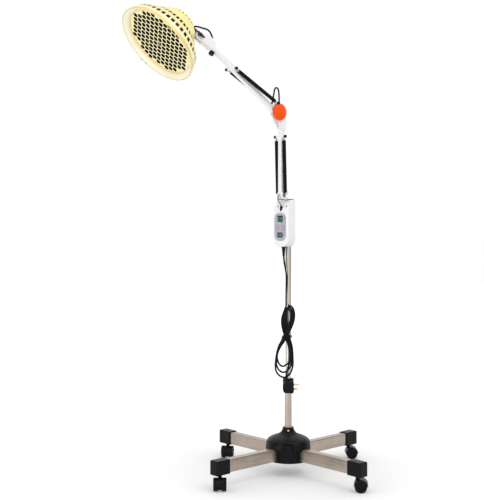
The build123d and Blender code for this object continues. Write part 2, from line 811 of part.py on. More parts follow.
plug_plane = Plane(origin=hank_normal * plug_offset, x_dir=hank_across, z_dir=hank_normal)
with BuildPart() as plug:
    with BuildSketch(plug_plane):
        with BuildLine():
            Polyline(
                (-18, 262), (-12, 253), (13, 252), (15, 254), (15, 288), (13, 290),
                (0, 290), (-12, 286), (-18, 278), close=True,
            )
        make_face()
    extrude(amount=9.5, both=True)
    fillet(plug.edges().filter_by(Axis(origin=(0, 0, 0), direction=hank_normal)), 1.8)
    with BuildSketch(Plane(origin=hank_normal * plug_offset + hank_across * -7 + Vector(0, 0, 287))):
        Circle(5.5)
    extrude(amount=17, taper=8)
    # Two flat pins set at an angle, and the earth pin
    pin_plane = Plane(
        origin=hank_normal * plug_offset + hank_across * 14 + Vector(0, 0, 271),
        x_dir=hank_normal,
        z_dir=hank_across,
    )
    with BuildSketch(pin_plane):
        with Locations(Location((-4.5, 6), 30), Location((4.5, 6), -30)):
            Rectangle(1.8, 6.3)
        with Locations((0, -8)):
            Rectangle(1.8, 6.3)
    extrude(amount=19)
save(plug, "plug")

# ---- Foot of the arm -------------------------------------------------------

cheek_inner = arm_tube / 2 + cheek_gap
cheek_outer = cheek_inner + cheek_thickness
yoke_top = yoke_bottom + yoke_plate
stud_reach = sleeve_x + 11.0

with BuildPart() as arm_yoke:
    rod(Plane.XY.offset(yoke_bottom) * Pos(0, foot_y, 0), 15, yoke_plate)
    rod(Plane.XY.offset(yoke_bottom - 5.6) * Pos(0, foot_y, 0), 6, 5.6)
    for x in (cheek_inner, -cheek_outer):
        cheek = [
            (lower_pivot, 7.6),
            (lower_anchor, 5.5),
            ((-33.5, yoke_top), 2.2),
            ((-13.5, yoke_top), 2.2),
        ]
        link(Plane.YZ.offset(x), cheek, cheek_thickness)
    bore(Plane.YZ.offset(-cheek_outer) * Pos(*lower_pivot, 0), pivot_radius + pin_fit, 2 * cheek_outer)
    rod(Plane.YZ.offset(cheek_inner) * Pos(*lower_anchor, 0), anchor_pin_radius, stud_reach - cheek_inner)
    rod(Plane.YZ.offset(-cheek_inner) * Pos(*lower_anchor, 0), anchor_pin_radius, -17)
save(arm_yoke, "arm_yoke")

with BuildPart() as yoke_bolts:
    pivot_plane = Plane(Plane.YZ * Pos(*lower_pivot, 0))
    screw(pivot_plane.offset(cheek_outer), 5, 3, pivot_radius, 2 * cheek_outer + 3.5)
    with BuildSketch(pivot_plane.offset(-cheek_outer)):
        RegularPolygon(5.2, 6)
    extrude(amount=-3)
    anchor_plane = Plane(Plane.YZ * Pos(*lower_anchor, 0))
    with BuildSketch(anchor_plane.offset(sleeve_x + 6)):
        Circle(4)
        Circle(anchor_pin_radius + pin_fit, mode=Mode.SUBTRACT)
    extrude(amount=3)
save(yoke_bolts, "yoke_bolts")

base_cable_points = [
    (0.0, -39.4, 862.0),
    (0.0, -43.8, 859.0),
    (0.0, -45.0, 851.5),
    (0.0, -43.0, 843.0),
    (0.0, -38.0, 836.5),
    (0.0, -32.6, 832.0),
    (0.0, top_gland_y, 827.2),
    (0.0, top_gland_y, 823.5),
]
cable("base_cable", base_cable_points, 2.0)

# ---- Lower arm -------------------------------------------------------------

lower_y, lower_z = lower_pivot

with BuildPart() as lower_arm_tube:
    with BuildSketch(Plane.YZ):
        with Locations(lower_pivot):
            Circle(arm_tube / 2)
        with Locations((lower_y, (lower_z + lower_arm_top) / 2)):
            Rectangle(arm_tube, lower_arm_top - lower_z)
    extrude(amount=arm_tube / 2, both=True)
    fillet(lower_arm_tube.edges().filter_by(Axis.Z), arm_corner)
    hollow = arm_tube - 2 * arm_wall
    with BuildSketch(Plane.XY.offset(lower_z + 8) * Pos(0, lower_y, 0)):
        Rectangle(hollow, hollow)
    extrude(amount=lower_arm_top, mode=Mode.SUBTRACT)
    bore(Plane.YZ.offset(-arm_tube) * Pos(*lower_pivot, 0), pivot_radius + pin_fit, 2 * arm_tube)
    lower_pin_plane = Plane.YZ.offset(-sleeve_x - stud_overhang) * Pos(*lower_pin, 0)
    rod(lower_pin_plane, anchor_pin_radius, 2 * (sleeve_x + stud_overhang))
    # Rubber grommet in the open end
    with BuildSketch(Plane.XY.offset(lower_arm_top - 6) * Pos(0, lower_y, 0)):
        Rectangle(hollow - 0.2, hollow - 0.2)
        with Locations((0, -1.5)):
            Circle(cable_radius + free_gap, mode=Mode.SUBTRACT)
    extrude(amount=7)
save(lower_arm_tube, "lower_arm_tube")

bracket_inner = arm_tube / 2 + 0.3
bracket_outer = bracket_inner + cheek_thickness

with BuildPart() as elbow_bracket:
    for x in (bracket_inner, -bracket_outer):
        side = Plane.YZ.offset(x)
        link(side, [(elbow, 13), ((lower_y, 1090), 10), ((lower_y, 1068), 8)], cheek_thickness)
        link(side, [(elbow, 13), (elbow_anchor, 6)], cheek_thickness)
    # The web behind the lower arm joins the two cheeks
    web_front = lower_y + arm_tube / 2 + 0.2
    with BuildSketch(Plane.XY.offset(1062)):
        with Locations((0, web_front + cheek_thickness / 2)):
            Rectangle(2 * bracket_outer, cheek_thickness)
    extrude(amount=30)
    bore(Plane.YZ.offset(-bracket_outer) * Pos(*elbow, 0), elbow_stud_radius + pin_fit, 2 * bracket_outer)
    for x, reach in ((bracket_inner, 1), (-bracket_inner, -1)):
        pin = Plane.YZ.offset(x) * Pos(*elbow_anchor, 0)
        rod(pin, anchor_pin_radius, reach * (sleeve_x + stud_overhang - bracket_inner))
    with BuildSketch(Plane.YZ.offset(-bracket_outer) * Pos(*elbow, 0)):
        RegularPolygon(8.5, 6)
        Circle(elbow_stud_radius + pin_fit, mode=Mode.SUBTRACT)
    extrude(amount=-6.5)
save(elbow_bracket, "elbow_bracket")


def build_springs(label, start, end, start_gap, end_gap):
    """Two sleeved springs between the pins at start and end, both (Y, Z)."""
    along = Vector(0, end[0] - start[0], end[1] - start[1])
    span = along.length
    hook_gap = anchor_pin_radius + 0.4
    with BuildPart() as springs:
        for x in (-sleeve_x, sleeve_x):
            axis_plane = Plane(origin=(x, *start), x_dir=(1, 0, 0), z_dir=along)
            rod(axis_plane.offset(start_gap), sleeve_radius, span - start_gap - end_gap)
            rod(axis_plane.offset(hook_gap), spring_hook_radius, span - 2 * hook_gap)
    save(springs, label)


build_springs("lower_springs", lower_anchor, lower_pin, 5.5, 13.0)

# ---- Elbow knob ------------------------------------------------------------

elbow_plane = Plane(Plane.YZ * Pos(*elbow, 0))
knob_back = bracket_outer + free_gap

with BuildPart() as elbow_knob:
    elbow_y, elbow_z = elbow
    stud_end = -bracket_outer - 6.5
    edge_x = knob_back + elbow_knob_edge
    crown_x = edge_x + elbow_knob_dome
    dome_sphere = (elbow_knob_radius**2 + elbow_knob_dome**2) / (2 * elbow_knob_dome)
    dome_half_angle = asin(elbow_knob_radius / dome_sphere) / 2
    with BuildSketch(Plane(origin=(0, elbow_y, elbow_z), x_dir=(1, 0, 0), z_dir=(0, 0, -1))):
        with BuildLine():
            body = Polyline(
                (stud_end, 0), (stud_end, elbow_stud_radius), (knob_back, elbow_stud_radius),
                (knob_back, elbow_knob_radius - elbow_knob_round),
                (knob_back + elbow_knob_round, elbow_knob_radius),
                (edge_x, elbow_knob_radius),
            )
            dome = ThreePointArc(
                body @ 1,
                (crown_x - dome_sphere * (1 - cos(dome_half_angle)), dome_sphere * sin(dome_half_angle)),
                (crown_x, 0),
            )
            Line(dome @ 1, body @ 0)
        make_face()
    revolve(axis=Axis((0, elbow_y, elbow_z), (1, 0, 0)))
save(elbow_knob, "elbow_knob")

# ---- Upper arm -------------------------------------------------------------

rise = radians(upper_arm_rise)
arm_direction = Vector(0, -cos(rise), sin(rise))
arm_up = Vector(0, sin(rise), cos(rise))
elbow_point = Vector(0, *elbow)


def arm_plane(along):
    """Plane across the upper arm: x to +X, y on the arm's upper side."""
    return Plane(origin=elbow_point + arm_direction * along, x_dir=(1, 0, 0), z_dir=arm_direction)


def arm_point(along, up, x=0.0):
    """Point given along the upper arm, above its middle and across it."""
    return elbow_point + arm_direction * along + arm_up * up + Vector(x, 0, 0)


upper_pin_point = arm_point(upper_pin_along, -upper_pin_drop)
arm_cable_hole = 28.0

with BuildPart() as upper_arm_tube:
    with BuildSketch(arm_plane(-upper_arm_tail)):
        RectangleRounded(arm_tube, arm_tube, arm_corner)
    extrude(amount=upper_arm_length + upper_arm_tail)
    with BuildSketch(arm_plane(12)):
        Rectangle(hollow, hollow)
    extrude(amount=upper_arm_length, mode=Mode.SUBTRACT)
    bore(elbow_plane.offset(-arm_tube), elbow_stud_radius + pin_fit, 2 * arm_tube)
    cable_exit = Plane(origin=arm_point(arm_cable_hole, 3), z_dir=arm_up)
    bore(cable_exit, 4, 10)
    upper_pin_start = upper_pin_point - Vector(sleeve_x + stud_overhang, 0, 0)
    upper_pin_plane = Plane(origin=upper_pin_start, z_dir=(1, 0, 0))
    rod(upper_pin_plane, anchor_pin_radius, 2 * (sleeve_x + stud_overhang))
save(upper_arm_tube, "upper_arm_tube")

build_springs("upper_springs", elbow_anchor, (upper_pin_point.Y, upper_pin_point.Z), 12.0, 14.5)

# The loop of cable over the elbow, from the upper arm into the lower arm's grommet
elbow_cable_points = [
    tuple(arm_point(arm_cable_hole, 4)),
    tuple(arm_point(arm_cable_hole - 1, 17)),
    (0.0, -64.5, 1160.3),
    (0.0, -61.0, 1175.0),
    (0.0, -57.8, 1187.0),
    (0.0, -49.3, 1190.2),
    (0.0, -42.4, 1184.4),
    (0.0, -40.2, 1170.0),
    (0.0, -39.6, 1154.0),
    (0.0, -38.6, 1138.0),
    (0.0, -35.0, 1122.0),
    (0.0, -31.6, 1109.0),
    (0.0, -31.5, lower_arm_top - 1),
]
cable("elbow_cable", elbow_cable_points, cable_radius)

with BuildPart() as swivel_socket:
    rod(arm_plane(socket_start), socket_radius, socket_end - socket_start)
    with BuildSketch(arm_plane(socket_start)):
        RectangleRounded(arm_tube + 0.1, arm_tube + 0.1, arm_corner)
    extrude(amount=upper_arm_length - socket_start, mode=Mode.SUBTRACT)
    bore(arm_plane(upper_arm_length + 2), spigot_radius + pin_fit, socket_end)
    clamp_plane = Plane(origin=arm_point(clamp_along, 0), z_dir=-arm_up)
    bore(clamp_plane, 2.5 + pin_fit, 2 * socket_radius)
save(swivel_socket, "swivel_socket")

with BuildPart() as swivel_knob:
    rod(clamp_plane.offset(spigot_radius + free_gap), 2.5, socket_radius)
    with BuildSketch(clamp_plane.offset(socket_radius + 1)):
        Circle(8)
        with PolarLocations(9.4, 5):
            Circle(2.6, mode=Mode.SUBTRACT)
    extrude(amount=8)
save(swivel_knob, "swivel_knob")

# ---- Knuckle ---------------------------------------------------------------

roll = radians(knuckle_roll)
tilt_axis = Vector(cos(roll), 0, 0) + arm_up * sin(roll)
knuckle_up = arm_direction.cross(tilt_axis)
hinge_point = elbow_point + arm_direction * hinge_along - knuckle_up * hinge_drop


def knuckle_side(across):
    """Plane along the knuckle, facing along the hinge; x out along the arm, y down."""
    return Plane(origin=elbow_point + tilt_axis * across, x_dir=arm_direction, z_dir=tilt_axis)


def knuckle_point(along, up):
    """Point in the knuckle's middle plane."""
    return elbow_point + arm_direction * along + knuckle_up * up


knuckle_start = socket_end + free_gap
fork_radius = 10.5

with BuildPart() as knuckle:
    with BuildSketch(knuckle_side(-knuckle_width / 2)):
        with BuildLine():
            crown = Spline(
                (knuckle_start, -12), (330, -16.5), (352, -11.5), (hinge_along, hinge_drop - fork_radius),
                tangents=((1, -0.4), (1, 0.2)),
            )
            nose = ThreePointArc(
                crown @ 1,
                (hinge_along + fork_radius, hinge_drop),
                (hinge_along, hinge_drop + fork_radius),
            )
            belly = Spline(
                nose @ 1, (350, 16), (330, 14), (knuckle_start, 12),
                tangents=((-1, 0), (-1, 0)),
            )
            Line(belly @ 1, crown @ 0)
        make_face()
    extrude(amount=knuckle_width)
    long_edges = knuckle.edges().filter_by(lambda e: e.length > 30)
    fillet(long_edges, 3.5)
    with BuildSketch(knuckle_side(-fork_gap / 2)):
        with Locations((346 + 30, 0)):
            Rectangle(60, 80)
    extrude(amount=fork_gap, mode=Mode.SUBTRACT)
    rod(arm_plane(upper_arm_length + 4), spigot_radius, knuckle_start - upper_arm_length)
    hinge_spot = knuckle_side(-knuckle_width) * Pos(hinge_along, hinge_drop, 0)
    bore(hinge_spot, hinge_radius + pin_fit, 2 * knuckle_width)
    cable_seat = Plane(origin=knuckle_point(318, 11), z_dir=knuckle_up)
    bore(cable_seat, cable_radius + free_gap + 0.1, 20)
save(knuckle, "knuckle")

hinge_plane = Plane(origin=hinge_point, x_dir=arm_direction, z_dir=tilt_axis)
with BuildPart() as hinge_bolt:
    far_side = Plane(origin=hinge_point - tilt_axis * knuckle_width / 2, z_dir=-tilt_axis)
    screw(far_side, 5.5, 3.5, hinge_radius, knuckle_width + 9)
save(hinge_bolt, "hinge_bolt")

with BuildPart() as wing_nut:
    wing_plane = hinge_plane.offset(knuckle_width / 2 + free_gap)
    rod(wing_plane, 5.5, 7)
    with BuildSketch(wing_plane.offset(2)):
        with Locations((8, 0), (-8, 0)):
            SlotOverall(13, 3.2)
    extrude(amount=9)
    bore(wing_plane, hinge_radius + pin_fit, 20)
save(wing_nut, "wing_nut")

# ---- Head ------------------------------------------------------------------

head_up = tilt_axis.cross(head_axis_vector).normalized()
facing = head_up.cross(tilt_axis).normalized()  # square to the hinge's axis
rim_centre = hinge_point + facing * hinge_behind_rim - head_up * hinge_off_axis
head_axis = Axis(rim_centre, facing)


def head_plane(behind):
    """Plane across the head, facing backward, a distance behind the rim."""
    return Plane(origin=rim_centre - facing * behind, x_dir=tilt_axis, z_dir=-facing)


# Half section of the head: x outward, y backward from the rim
section_plane = Plane(origin=rim_centre, x_dir=tilt_axis, z_dir=-head_up)

shade_lip = 8.0  # height of the straight edge round the mouth
shade_hole = 40.0
bell_outside = [  # radius, distance behind the rim
    (114.5, 30.0), (97.0, 50.0), (78.0, 70.0), (66.0, 84.0), (58.0, shade_back),
]
bell_inside = [
    (56.6, shade_back - sheet), (64.6, 83.1), (76.8, 69.1), (95.8, 49.1), (113.2, 29.3),
]

with BuildPart() as shade:
    with BuildSketch(section_plane):
        with BuildLine():
            bead = Line((rim_radius - sheet, 0), (rim_radius, 0))
            lip = Line(bead @ 1, (rim_radius, shade_lip))
            bell = Spline(lip @ 1, *bell_outside, tangents=((0, 1), (-1, 1)))
            back = Line(bell @ 1, (shade_hole, shade_back))
            hole = Line(back @ 1, (shade_hole, shade_back - sheet))
            inner_back = Line(hole @ 1, bell_inside[0])
            inner_bell = Spline(
                *bell_inside, (rim_radius - sheet, shade_lip), tangents=((1, -1), (0, -1))
            )
            Line(inner_bell @ 1, bead @ 0)
        make_face()
    revolve(axis=head_axis)
    with BuildSketch(head_plane(shade_back + 2)):
        with PolarLocations(50.5, 3, start_angle=30):
            Circle(1.5 + push_fit)
    extrude(amount=-6, mode=Mode.SUBTRACT)
save(shade, "shade")

dome_radius = 47.0
with BuildPart() as rear_dome:
    with BuildSketch(section_plane):
        with BuildLine():
            flange = Line((54, shade_back), (54, shade_back + sheet))
            ledge = Line(flange @ 1, (dome_radius, shade_back + sheet))
            wall = Line(ledge @ 1, (dome_radius - 0.6, shade_back + 9))
            crown = Spline(
                wall @ 1, (43.2, 112), (34.5, dome_top - 0.5), (28, dome_top),
                tangents=((0, 1), (-1, 0)),
            )
            top = Line(crown @ 1, (0, dome_top))
            axis_line = Line(top @ 1, (0, dome_top - 2))
            under = Line(axis_line @ 1, (29, dome_top - 2))
            inner = Spline(
                under @ 1, (41.5, 110.5), (dome_radius - 2.4, shade_back + 8),
                tangents=((1, 0), (0, -1)),
            )
            inner_wall = Line(inner @ 1, (dome_radius - 2.4, shade_back))
            Line(inner_wall @ 1, flange @ 0)
        make_face()
    revolve(axis=head_axis)
    # Two rows of cooling slots
    slot_count = 24
    for k in range(slot_count):
        spoke = radians(360 / slot_count * (k + 0.5))
        outward = tilt_axis * cos(spoke) + head_up * sin(spoke)
        across = tilt_axis * -sin(spoke) + head_up * cos(spoke)
        slot_plane = Plane(
            origin=rim_centre - facing * 104 + outward * 38, x_dir=across, z_dir=outward
        )
        with BuildSketch(slot_plane):
            RectangleRounded(5.4, 6.4, 1.2)
        extrude(amount=20, mode=Mode.SUBTRACT)
    with BuildSketch(head_plane(dome_top + 1)):
        with PolarLocations(37, slot_count):
            Rectangle(7, 3.4)
    extrude(amount=-9, mode=Mode.SUBTRACT)
    with BuildSketch(head_plane(shade_back + 3)):
        with PolarLocations(50.5, 3, start_angle=30):
            Circle(1.5 + push_fit)
    extrude(amount=-6, mode=Mode.SUBTRACT)
save(rear_dome, "rear_dome")

ring_outer = rim_radius - sheet - 0.1
with BuildPart() as front_rim:
    with BuildSketch(section_plane):
        with BuildLine():
            Polyline(
                (ring_outer, 0.6), (ring_outer, 7), (ring_outer - 1.4, 7), (ring_outer - 1.4, 2.8),
                (guard_opening + 2, guard_depth), (guard_opening, guard_depth),
                (guard_opening, guard_depth - 1.4), (guard_opening + 1, guard_depth - 1.4),
                (ring_outer - 1.2, 0.6),
                close=True,
            )
        make_face()
    revolve(axis=head_axis)
save(front_rim, "front_rim")

# The lattice is set so that the middle of the guard is the web between two holes
row_step = guard_pitch * sqrt(3) / 2
rows = int(guard_field / row_step) + 1
hole_centres = []
for row in range(-rows, rows + 1):
    for column in range(-rows - 1, rows + 2):
        x = guard_pitch * (column + 0.5 * (row % 2) - 0.25)
        y = row_step * (row + 0.5)
        if hypot(x, y) < guard_field:
            hole_centres.append((x, y))

with BuildPart() as guard:
    turn = radians(lattice_angle)
    guard_plane = Plane(
        origin=rim_centre - facing * guard_depth,
        x_dir=tilt_axis * cos(turn) + head_up * sin(turn),
        z_dir=-facing,
    )
    with BuildSketch(guard_plane):
        Circle(guard_radius)
        with Locations(*hole_centres):
            RegularPolygon(guard_hole / 2, 6, major_radius=False, rotation=30, mode=Mode.SUBTRACT)
        Circle(1.6, mode=Mode.SUBTRACT)
    extrude(amount=sheet)
save(guard, "guard")

plate_depth = 30.0
plate_thickness = 4.0
block_thickness = 16.0
plate_back = plate_depth + plate_thickness
block_back = plate_back + block_thickness

with BuildPart() as mineral_plate:
    rod(head_plane(plate_depth), plate_radius, plate_thickness)
    bore(head_plane(plate_depth), 2.2, plate_thickness)
    front = mineral_plate.faces().sort_by(Axis(origin=(0, 0, 0), direction=facing))[-1]
    chamfer(front.edges().filter_by(lambda e: e.radius > plate_radius - 1), 1)
save(mineral_plate, "mineral_plate")

with BuildPart() as heater_block:
    rod(head_plane(plate_back), plate_radius - 3, block_thickness)
    # Channels for the heating wire in the front face
    with BuildSketch(head_plane(plate_back)):
        for radius in (20, 34, 48, 62):
            Circle(radius + 2.5)
            Circle(radius - 2.5, mode=Mode.SUBTRACT)
    extrude(amount=6, mode=Mode.SUBTRACT)
    bore(head_plane(plate_back), 2.2, block_thickness)
save(heater_block, "heater_block")

with BuildPart() as heat_shield:
    with BuildSketch(section_plane):
        with BuildLine():
            Polyline(
                (2.3, block_back), (88.5, block_back), (88.5, plate_depth + 2), (92, plate_depth + 2),
                (92, plate_depth + 3.2), (89.7, plate_depth + 3.2), (89.7, block_back + 1.2),
                (2.3, block_back + 1.2),
                close=True,
            )
        make_face()
    revolve(axis=head_axis)
save(heat_shield, "heat_shield")

with BuildPart() as terminal_block:
    with BuildSketch(head_plane(block_back + 6) * Pos(0, 16, 0)):
        Rectangle(34, 18)
    extrude(amount=14)
    with BuildSketch(head_plane(block_back + 20) * Pos(0, 16, 0)):
        with Locations((-10, 0), (0, 0), (10, 0)):
            Circle(2.2)
    extrude(amount=-4, mode=Mode.SUBTRACT)
    with BuildSketch(head_plane(block_back + 1.2)):
        with Locations((-12, 16), (12, 16)):
            Circle(3)
    extrude(amount=5)
save(terminal_block, "terminal_block")

# Centre rod with the guard's screw, three hangers and the dome's screws
hanger_circle = 48.0
with BuildPart() as head_screws:
    rod(head_plane(guard_depth - 2.0), 3.6, 2.0)
    rod(head_plane(guard_depth - 0.5), 1.5, sheet + 2)
    rod(head_plane(guard_depth + sheet), 4, plate_depth - guard_depth - sheet)
    rod(head_plane(plate_depth - 1), 2.1, block_back - plate_depth + 6)
    rod(head_plane(block_back + 1.2), 4.5, 4)
    for spot in PolarLocations(50.5, 3, start_angle=30).locations:
        place = head_plane(shade_back + sheet) * spot
        screw(place, 3, 1.8, 1.5, 5)
    with BuildSketch(head_plane(block_back + 1.2)):
        with PolarLocations(hanger_circle, 3, start_angle=90):
            Circle(3)
    extrude(amount=shade_back - sheet - block_back - 1.2)
save(head_screws, "head_screws")

lug_half = fork_gap / 2 - free_gap
with BuildPart() as tilt_bracket:
    with BuildSketch(head_plane(dome_top) * Pos(0, 10, 0)):
        RectangleRounded(36, 32, 5)
    extrude(amount=2.5)
    lug_side = Plane(origin=rim_centre - tilt_axis * lug_half, x_dir=head_up, z_dir=tilt_axis)
    lug = [
        ((hinge_off_axis, hinge_behind_rim), 9),
        ((22, dome_top + 3), 2.8),
        ((2, dome_top + 3), 2.8),
    ]
    with BuildSketch(lug_side):
        for (up, behind), radius in lug:
            with Locations((up, behind)):
                Circle(radius)
        make_hull()
    extrude(amount=2 * lug_half)
    bore(hinge_plane.offset(-knuckle_width), hinge_radius + pin_fit, 2 * knuckle_width)
save(tilt_bracket, "tilt_bracket")

gland_x = 13.0
gland_up = 31.0
with BuildPart() as head_gland:
    gland_seat = head_plane(dome_top) * Pos(gland_x, gland_up, 0)
    rod(gland_seat, 4.2, 4)
    bore(gland_seat, cable_radius + push_fit, 10)
save(head_gland, "head_gland")

# The arc of cable from the head's gland over the hinge into the knuckle
head_cable_points = [
    tuple(Plane(gland_seat).from_local_coords(Vector(0, 0, 1.5))),
    tuple(Plane(gland_seat).from_local_coords(Vector(0, 0, 10.5))),
    (11.5, -372.0, 1331.0),
    (7.5, -353.0, 1330.0),
    (4.5, -336.0, 1330.2),
    (1.5, -322.0, 1326.5),
    (1.5, -314.0, 1316.0),
    tuple(knuckle_point(318, 20)),
    tuple(knuckle_point(318, 12)),
]
cable("head_cable", head_cable_points, cable_radius)
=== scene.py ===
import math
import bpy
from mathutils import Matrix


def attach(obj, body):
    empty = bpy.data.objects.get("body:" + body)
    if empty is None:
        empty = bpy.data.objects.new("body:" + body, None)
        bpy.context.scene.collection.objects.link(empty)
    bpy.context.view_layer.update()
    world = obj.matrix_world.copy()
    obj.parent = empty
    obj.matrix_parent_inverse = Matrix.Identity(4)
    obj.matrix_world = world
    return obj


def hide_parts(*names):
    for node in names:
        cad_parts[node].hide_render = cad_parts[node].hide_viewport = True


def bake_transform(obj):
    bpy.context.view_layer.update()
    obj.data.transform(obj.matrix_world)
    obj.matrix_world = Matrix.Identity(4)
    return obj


bl_info = {
    "name": "Heat Lamp Stand",
    "version": (1, 0, 0),
    "blender": (4, 5, 0),
    "location": "3D View > Sidebar > Heat Lamp",
    "description": "Finishes, cords and small parts of an infrared heat lamp on a castor stand",
    "category": "Object",
}

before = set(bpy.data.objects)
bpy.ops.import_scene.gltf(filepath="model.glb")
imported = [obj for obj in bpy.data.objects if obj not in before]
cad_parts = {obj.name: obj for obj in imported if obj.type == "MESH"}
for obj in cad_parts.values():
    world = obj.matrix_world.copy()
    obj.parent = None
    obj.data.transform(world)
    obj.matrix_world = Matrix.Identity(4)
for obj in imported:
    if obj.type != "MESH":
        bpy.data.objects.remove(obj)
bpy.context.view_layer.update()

import bpy
from bpy.props import FloatProperty, FloatVectorProperty, IntProperty, PointerProperty
from mathutils import Matrix, Vector

MM = 0.001


def mm(x, y, z):
    """A point given in millimetres."""
    return Vector((x, y, z)) * MM


# ---- Places on the lamp, in millimetres -------------------------------------

RISE = math.radians(33.3)
ALONG = Vector((0, -math.cos(RISE), math.sin(RISE)))
ARM_UP = Vector((0, math.sin(RISE), math.cos(RISE)))
ELBOW = Vector((0, -55, 1113))
ROLL = math.radians(-5.72)
TILT_AXIS = Vector((math.cos(ROLL), 0, 0)) + ARM_UP * math.sin(ROLL)
KNUCKLE_UP = ALONG.cross(TILT_AXIS)
HINGE = ELBOW + ALONG * 370 - KNUCKLE_UP * 7
HEAD_UP = TILT_AXIS.cross(Vector((-0.0969, -0.7257, -0.6812))).normalized()
FACING = HEAD_UP.cross(TILT_AXIS).normalized()
RIM = HINGE + FACING * 129 - HEAD_UP * 60.5
PANEL_Y = -35.4


def arm_point(along, up):
    return ELBOW + ALONG * along + ARM_UP * up


def knuckle_point(along, up):
    return ELBOW + ALONG * along + KNUCKLE_UP * up


def head_point(across, up, behind):
    return RIM + TILT_AXIS * across + HEAD_UP * up - FACING * behind


def frame_matrix(origin, x_dir, z_dir):
    """Matrix, in metres, that puts a piece made at the origin where it belongs; origin in mm."""
    z = Vector(z_dir).normalized()
    x = Vector(x_dir).normalized()
    y = z.cross(x)
    turn = Matrix((x, y, z)).transposed().to_4x4()
    return Matrix.Translation(Vector(origin) * MM) @ turn


# ---- Modelling helpers ------------------------------------------------------


def fresh():
    if bpy.context.object and bpy.context.object.mode != "OBJECT":
        bpy.ops.object.mode_set(mode="OBJECT")
    bpy.ops.object.select_all(action="DESELECT")


def select(piece):
    fresh()
    piece.select_set(True)
    bpy.context.view_layer.objects.active = piece
    return piece


def settle(piece, name, matrix=None):
    """Apply a piece's place to its mesh, so that its object lies at the origin."""
    select(piece)
    if piece.type != "MESH":
        bpy.ops.object.convert(target="MESH")
        piece = bpy.context.object
    piece.name = name
    piece.data.name = name
    if matrix is not None:
        piece.matrix_world = matrix @ piece.matrix_world
    bpy.ops.object.transform_apply(location=True, rotation=True, scale=True)
    return piece


def modifier(piece, kind, **settings):
    select(piece)
    item = piece.modifiers.new(kind.title(), kind)
    for key, value in settings.items():
        setattr(item, key, value)
    bpy.ops.object.modifier_apply(modifier=item.name)
    return piece


def bevelled(piece, width, segments=3):
    return modifier(
        piece, "BEVEL", width=width * MM, segments=segments, limit_method="ANGLE", angle_limit=0.6
    )


def smooth(piece, angle=35):
    select(piece)
    bpy.ops.object.shade_smooth_by_angle(angle=math.radians(angle))
    return piece


def joined(pieces, name):
    fresh()
    for piece in pieces:
        piece.select_set(True)
    bpy.context.view_layer.objects.active = pieces[0]
    if len(pieces) > 1:
        bpy.ops.object.join()
    piece = bpy.context.object
    piece.name = name
    piece.data.name = name
    return piece


def turned(name, profile, steps=96, origin=(0, 0, 0), x_dir=(1, 0, 0), z_dir=(0, 0, 1)):
    """A lathe-turned piece: profile of (radius, height) in mm, spun about its z."""
    fresh()
    mesh = bpy.data.meshes.new(name)
    piece = bpy.data.objects.new(name, mesh)
    bpy.context.scene.collection.objects.link(piece)
    points = [Vector((r, 0, h)) * MM for r, h in profile]
    mesh.from_pydata(points, [(i, i + 1) for i in range(len(points) - 1)], [])
    select(piece)
    bpy.ops.object.mode_set(mode="EDIT")
    bpy.ops.mesh.select_mode(type="VERT")
    bpy.ops.mesh.select_all(action="SELECT")
    bpy.ops.mesh.spin(steps=steps, angle=2 * math.pi, center=(0, 0, 0), axis=(0, 0, 1))
    bpy.ops.mesh.select_all(action="SELECT")
    bpy.ops.mesh.remove_doubles(threshold=2e-6)
    bpy.ops.mesh.normals_make_consistent(inside=False)
    bpy.ops.object.mode_set(mode="OBJECT")
    piece.matrix_world = frame_matrix(origin, x_dir, z_dir)
    bpy.ops.object.transform_apply(location=True, rotation=True, scale=True)
    return piece


def block(name, size, matrix, edge=0.4, segments=2):
    """A box with rounded edges; size in mm, its middle at the matrix's place."""
    fresh()
    bpy.ops.mesh.primitive_cube_add(size=1)
    piece = bpy.context.object
    piece.scale = Vector(size) * MM
    bpy.ops.object.transform_apply(scale=True)
    bevelled(piece, edge, segments)
    return settle(piece, name, matrix)


def disc(name, radius, depth, matrix, edge=0.4, sides=64):
    """A round bar with rounded ends; its middle at the matrix's place."""
    fresh()
    bpy.ops.mesh.primitive_cylinder_add(vertices=sides, radius=radius * MM, depth=depth * MM)
    piece = bpy.context.object
    bevelled(piece, edge, 3)
    return settle(smooth(piece), name, matrix)


def prism(name, outline, depth, matrix, edge=0.0, segments=3):
    """A plate with the given outline of (x, y) in mm, raised along its z."""
    fresh()
    mesh = bpy.data.meshes.new(name)
    piece = bpy.data.objects.new(name, mesh)
    bpy.context.scene.collection.objects.link(piece)
    mesh.from_pydata([(x * MM, y * MM, 0) for x, y in outline], [], [tuple(range(len(outline)))])
    select(piece)
    bpy.ops.object.mode_set(mode="EDIT")
    bpy.ops.mesh.select_all(action="SELECT")
    bpy.ops.mesh.extrude_region_move(TRANSFORM_OT_translate={"value": (0, 0, depth * MM)})
    bpy.ops.mesh.select_all(action="SELECT")
    bpy.ops.mesh.normals_make_consistent(inside=False)
    bpy.ops.object.mode_set(mode="OBJECT")
    if edge:
        bevelled(piece, edge, segments)
    return settle(piece, name, matrix)


def facing_front(x, z, y=PANEL_Y):
    """Place on the control panel, its y up and its z forward."""
    return frame_matrix((x, y, z), (1, 0, 0), (0, -1, 0))


def lettering(words, height, x, z, y=PANEL_Y, lift=0.06):
    """Raised print facing forward, centred at x, z in mm."""
    fresh()
    bpy.ops.object.text_add()
    text = bpy.context.object
    text.data.body = words
    text.data.size = height * 1.4 * MM
    text.data.align_x = "CENTER"
    text.data.align_y = "CENTER"
    text.data.extrude = lift / 2 * MM
    text.data.resolution_u = 3
    return settle(text, "print", facing_front(x, z, y))


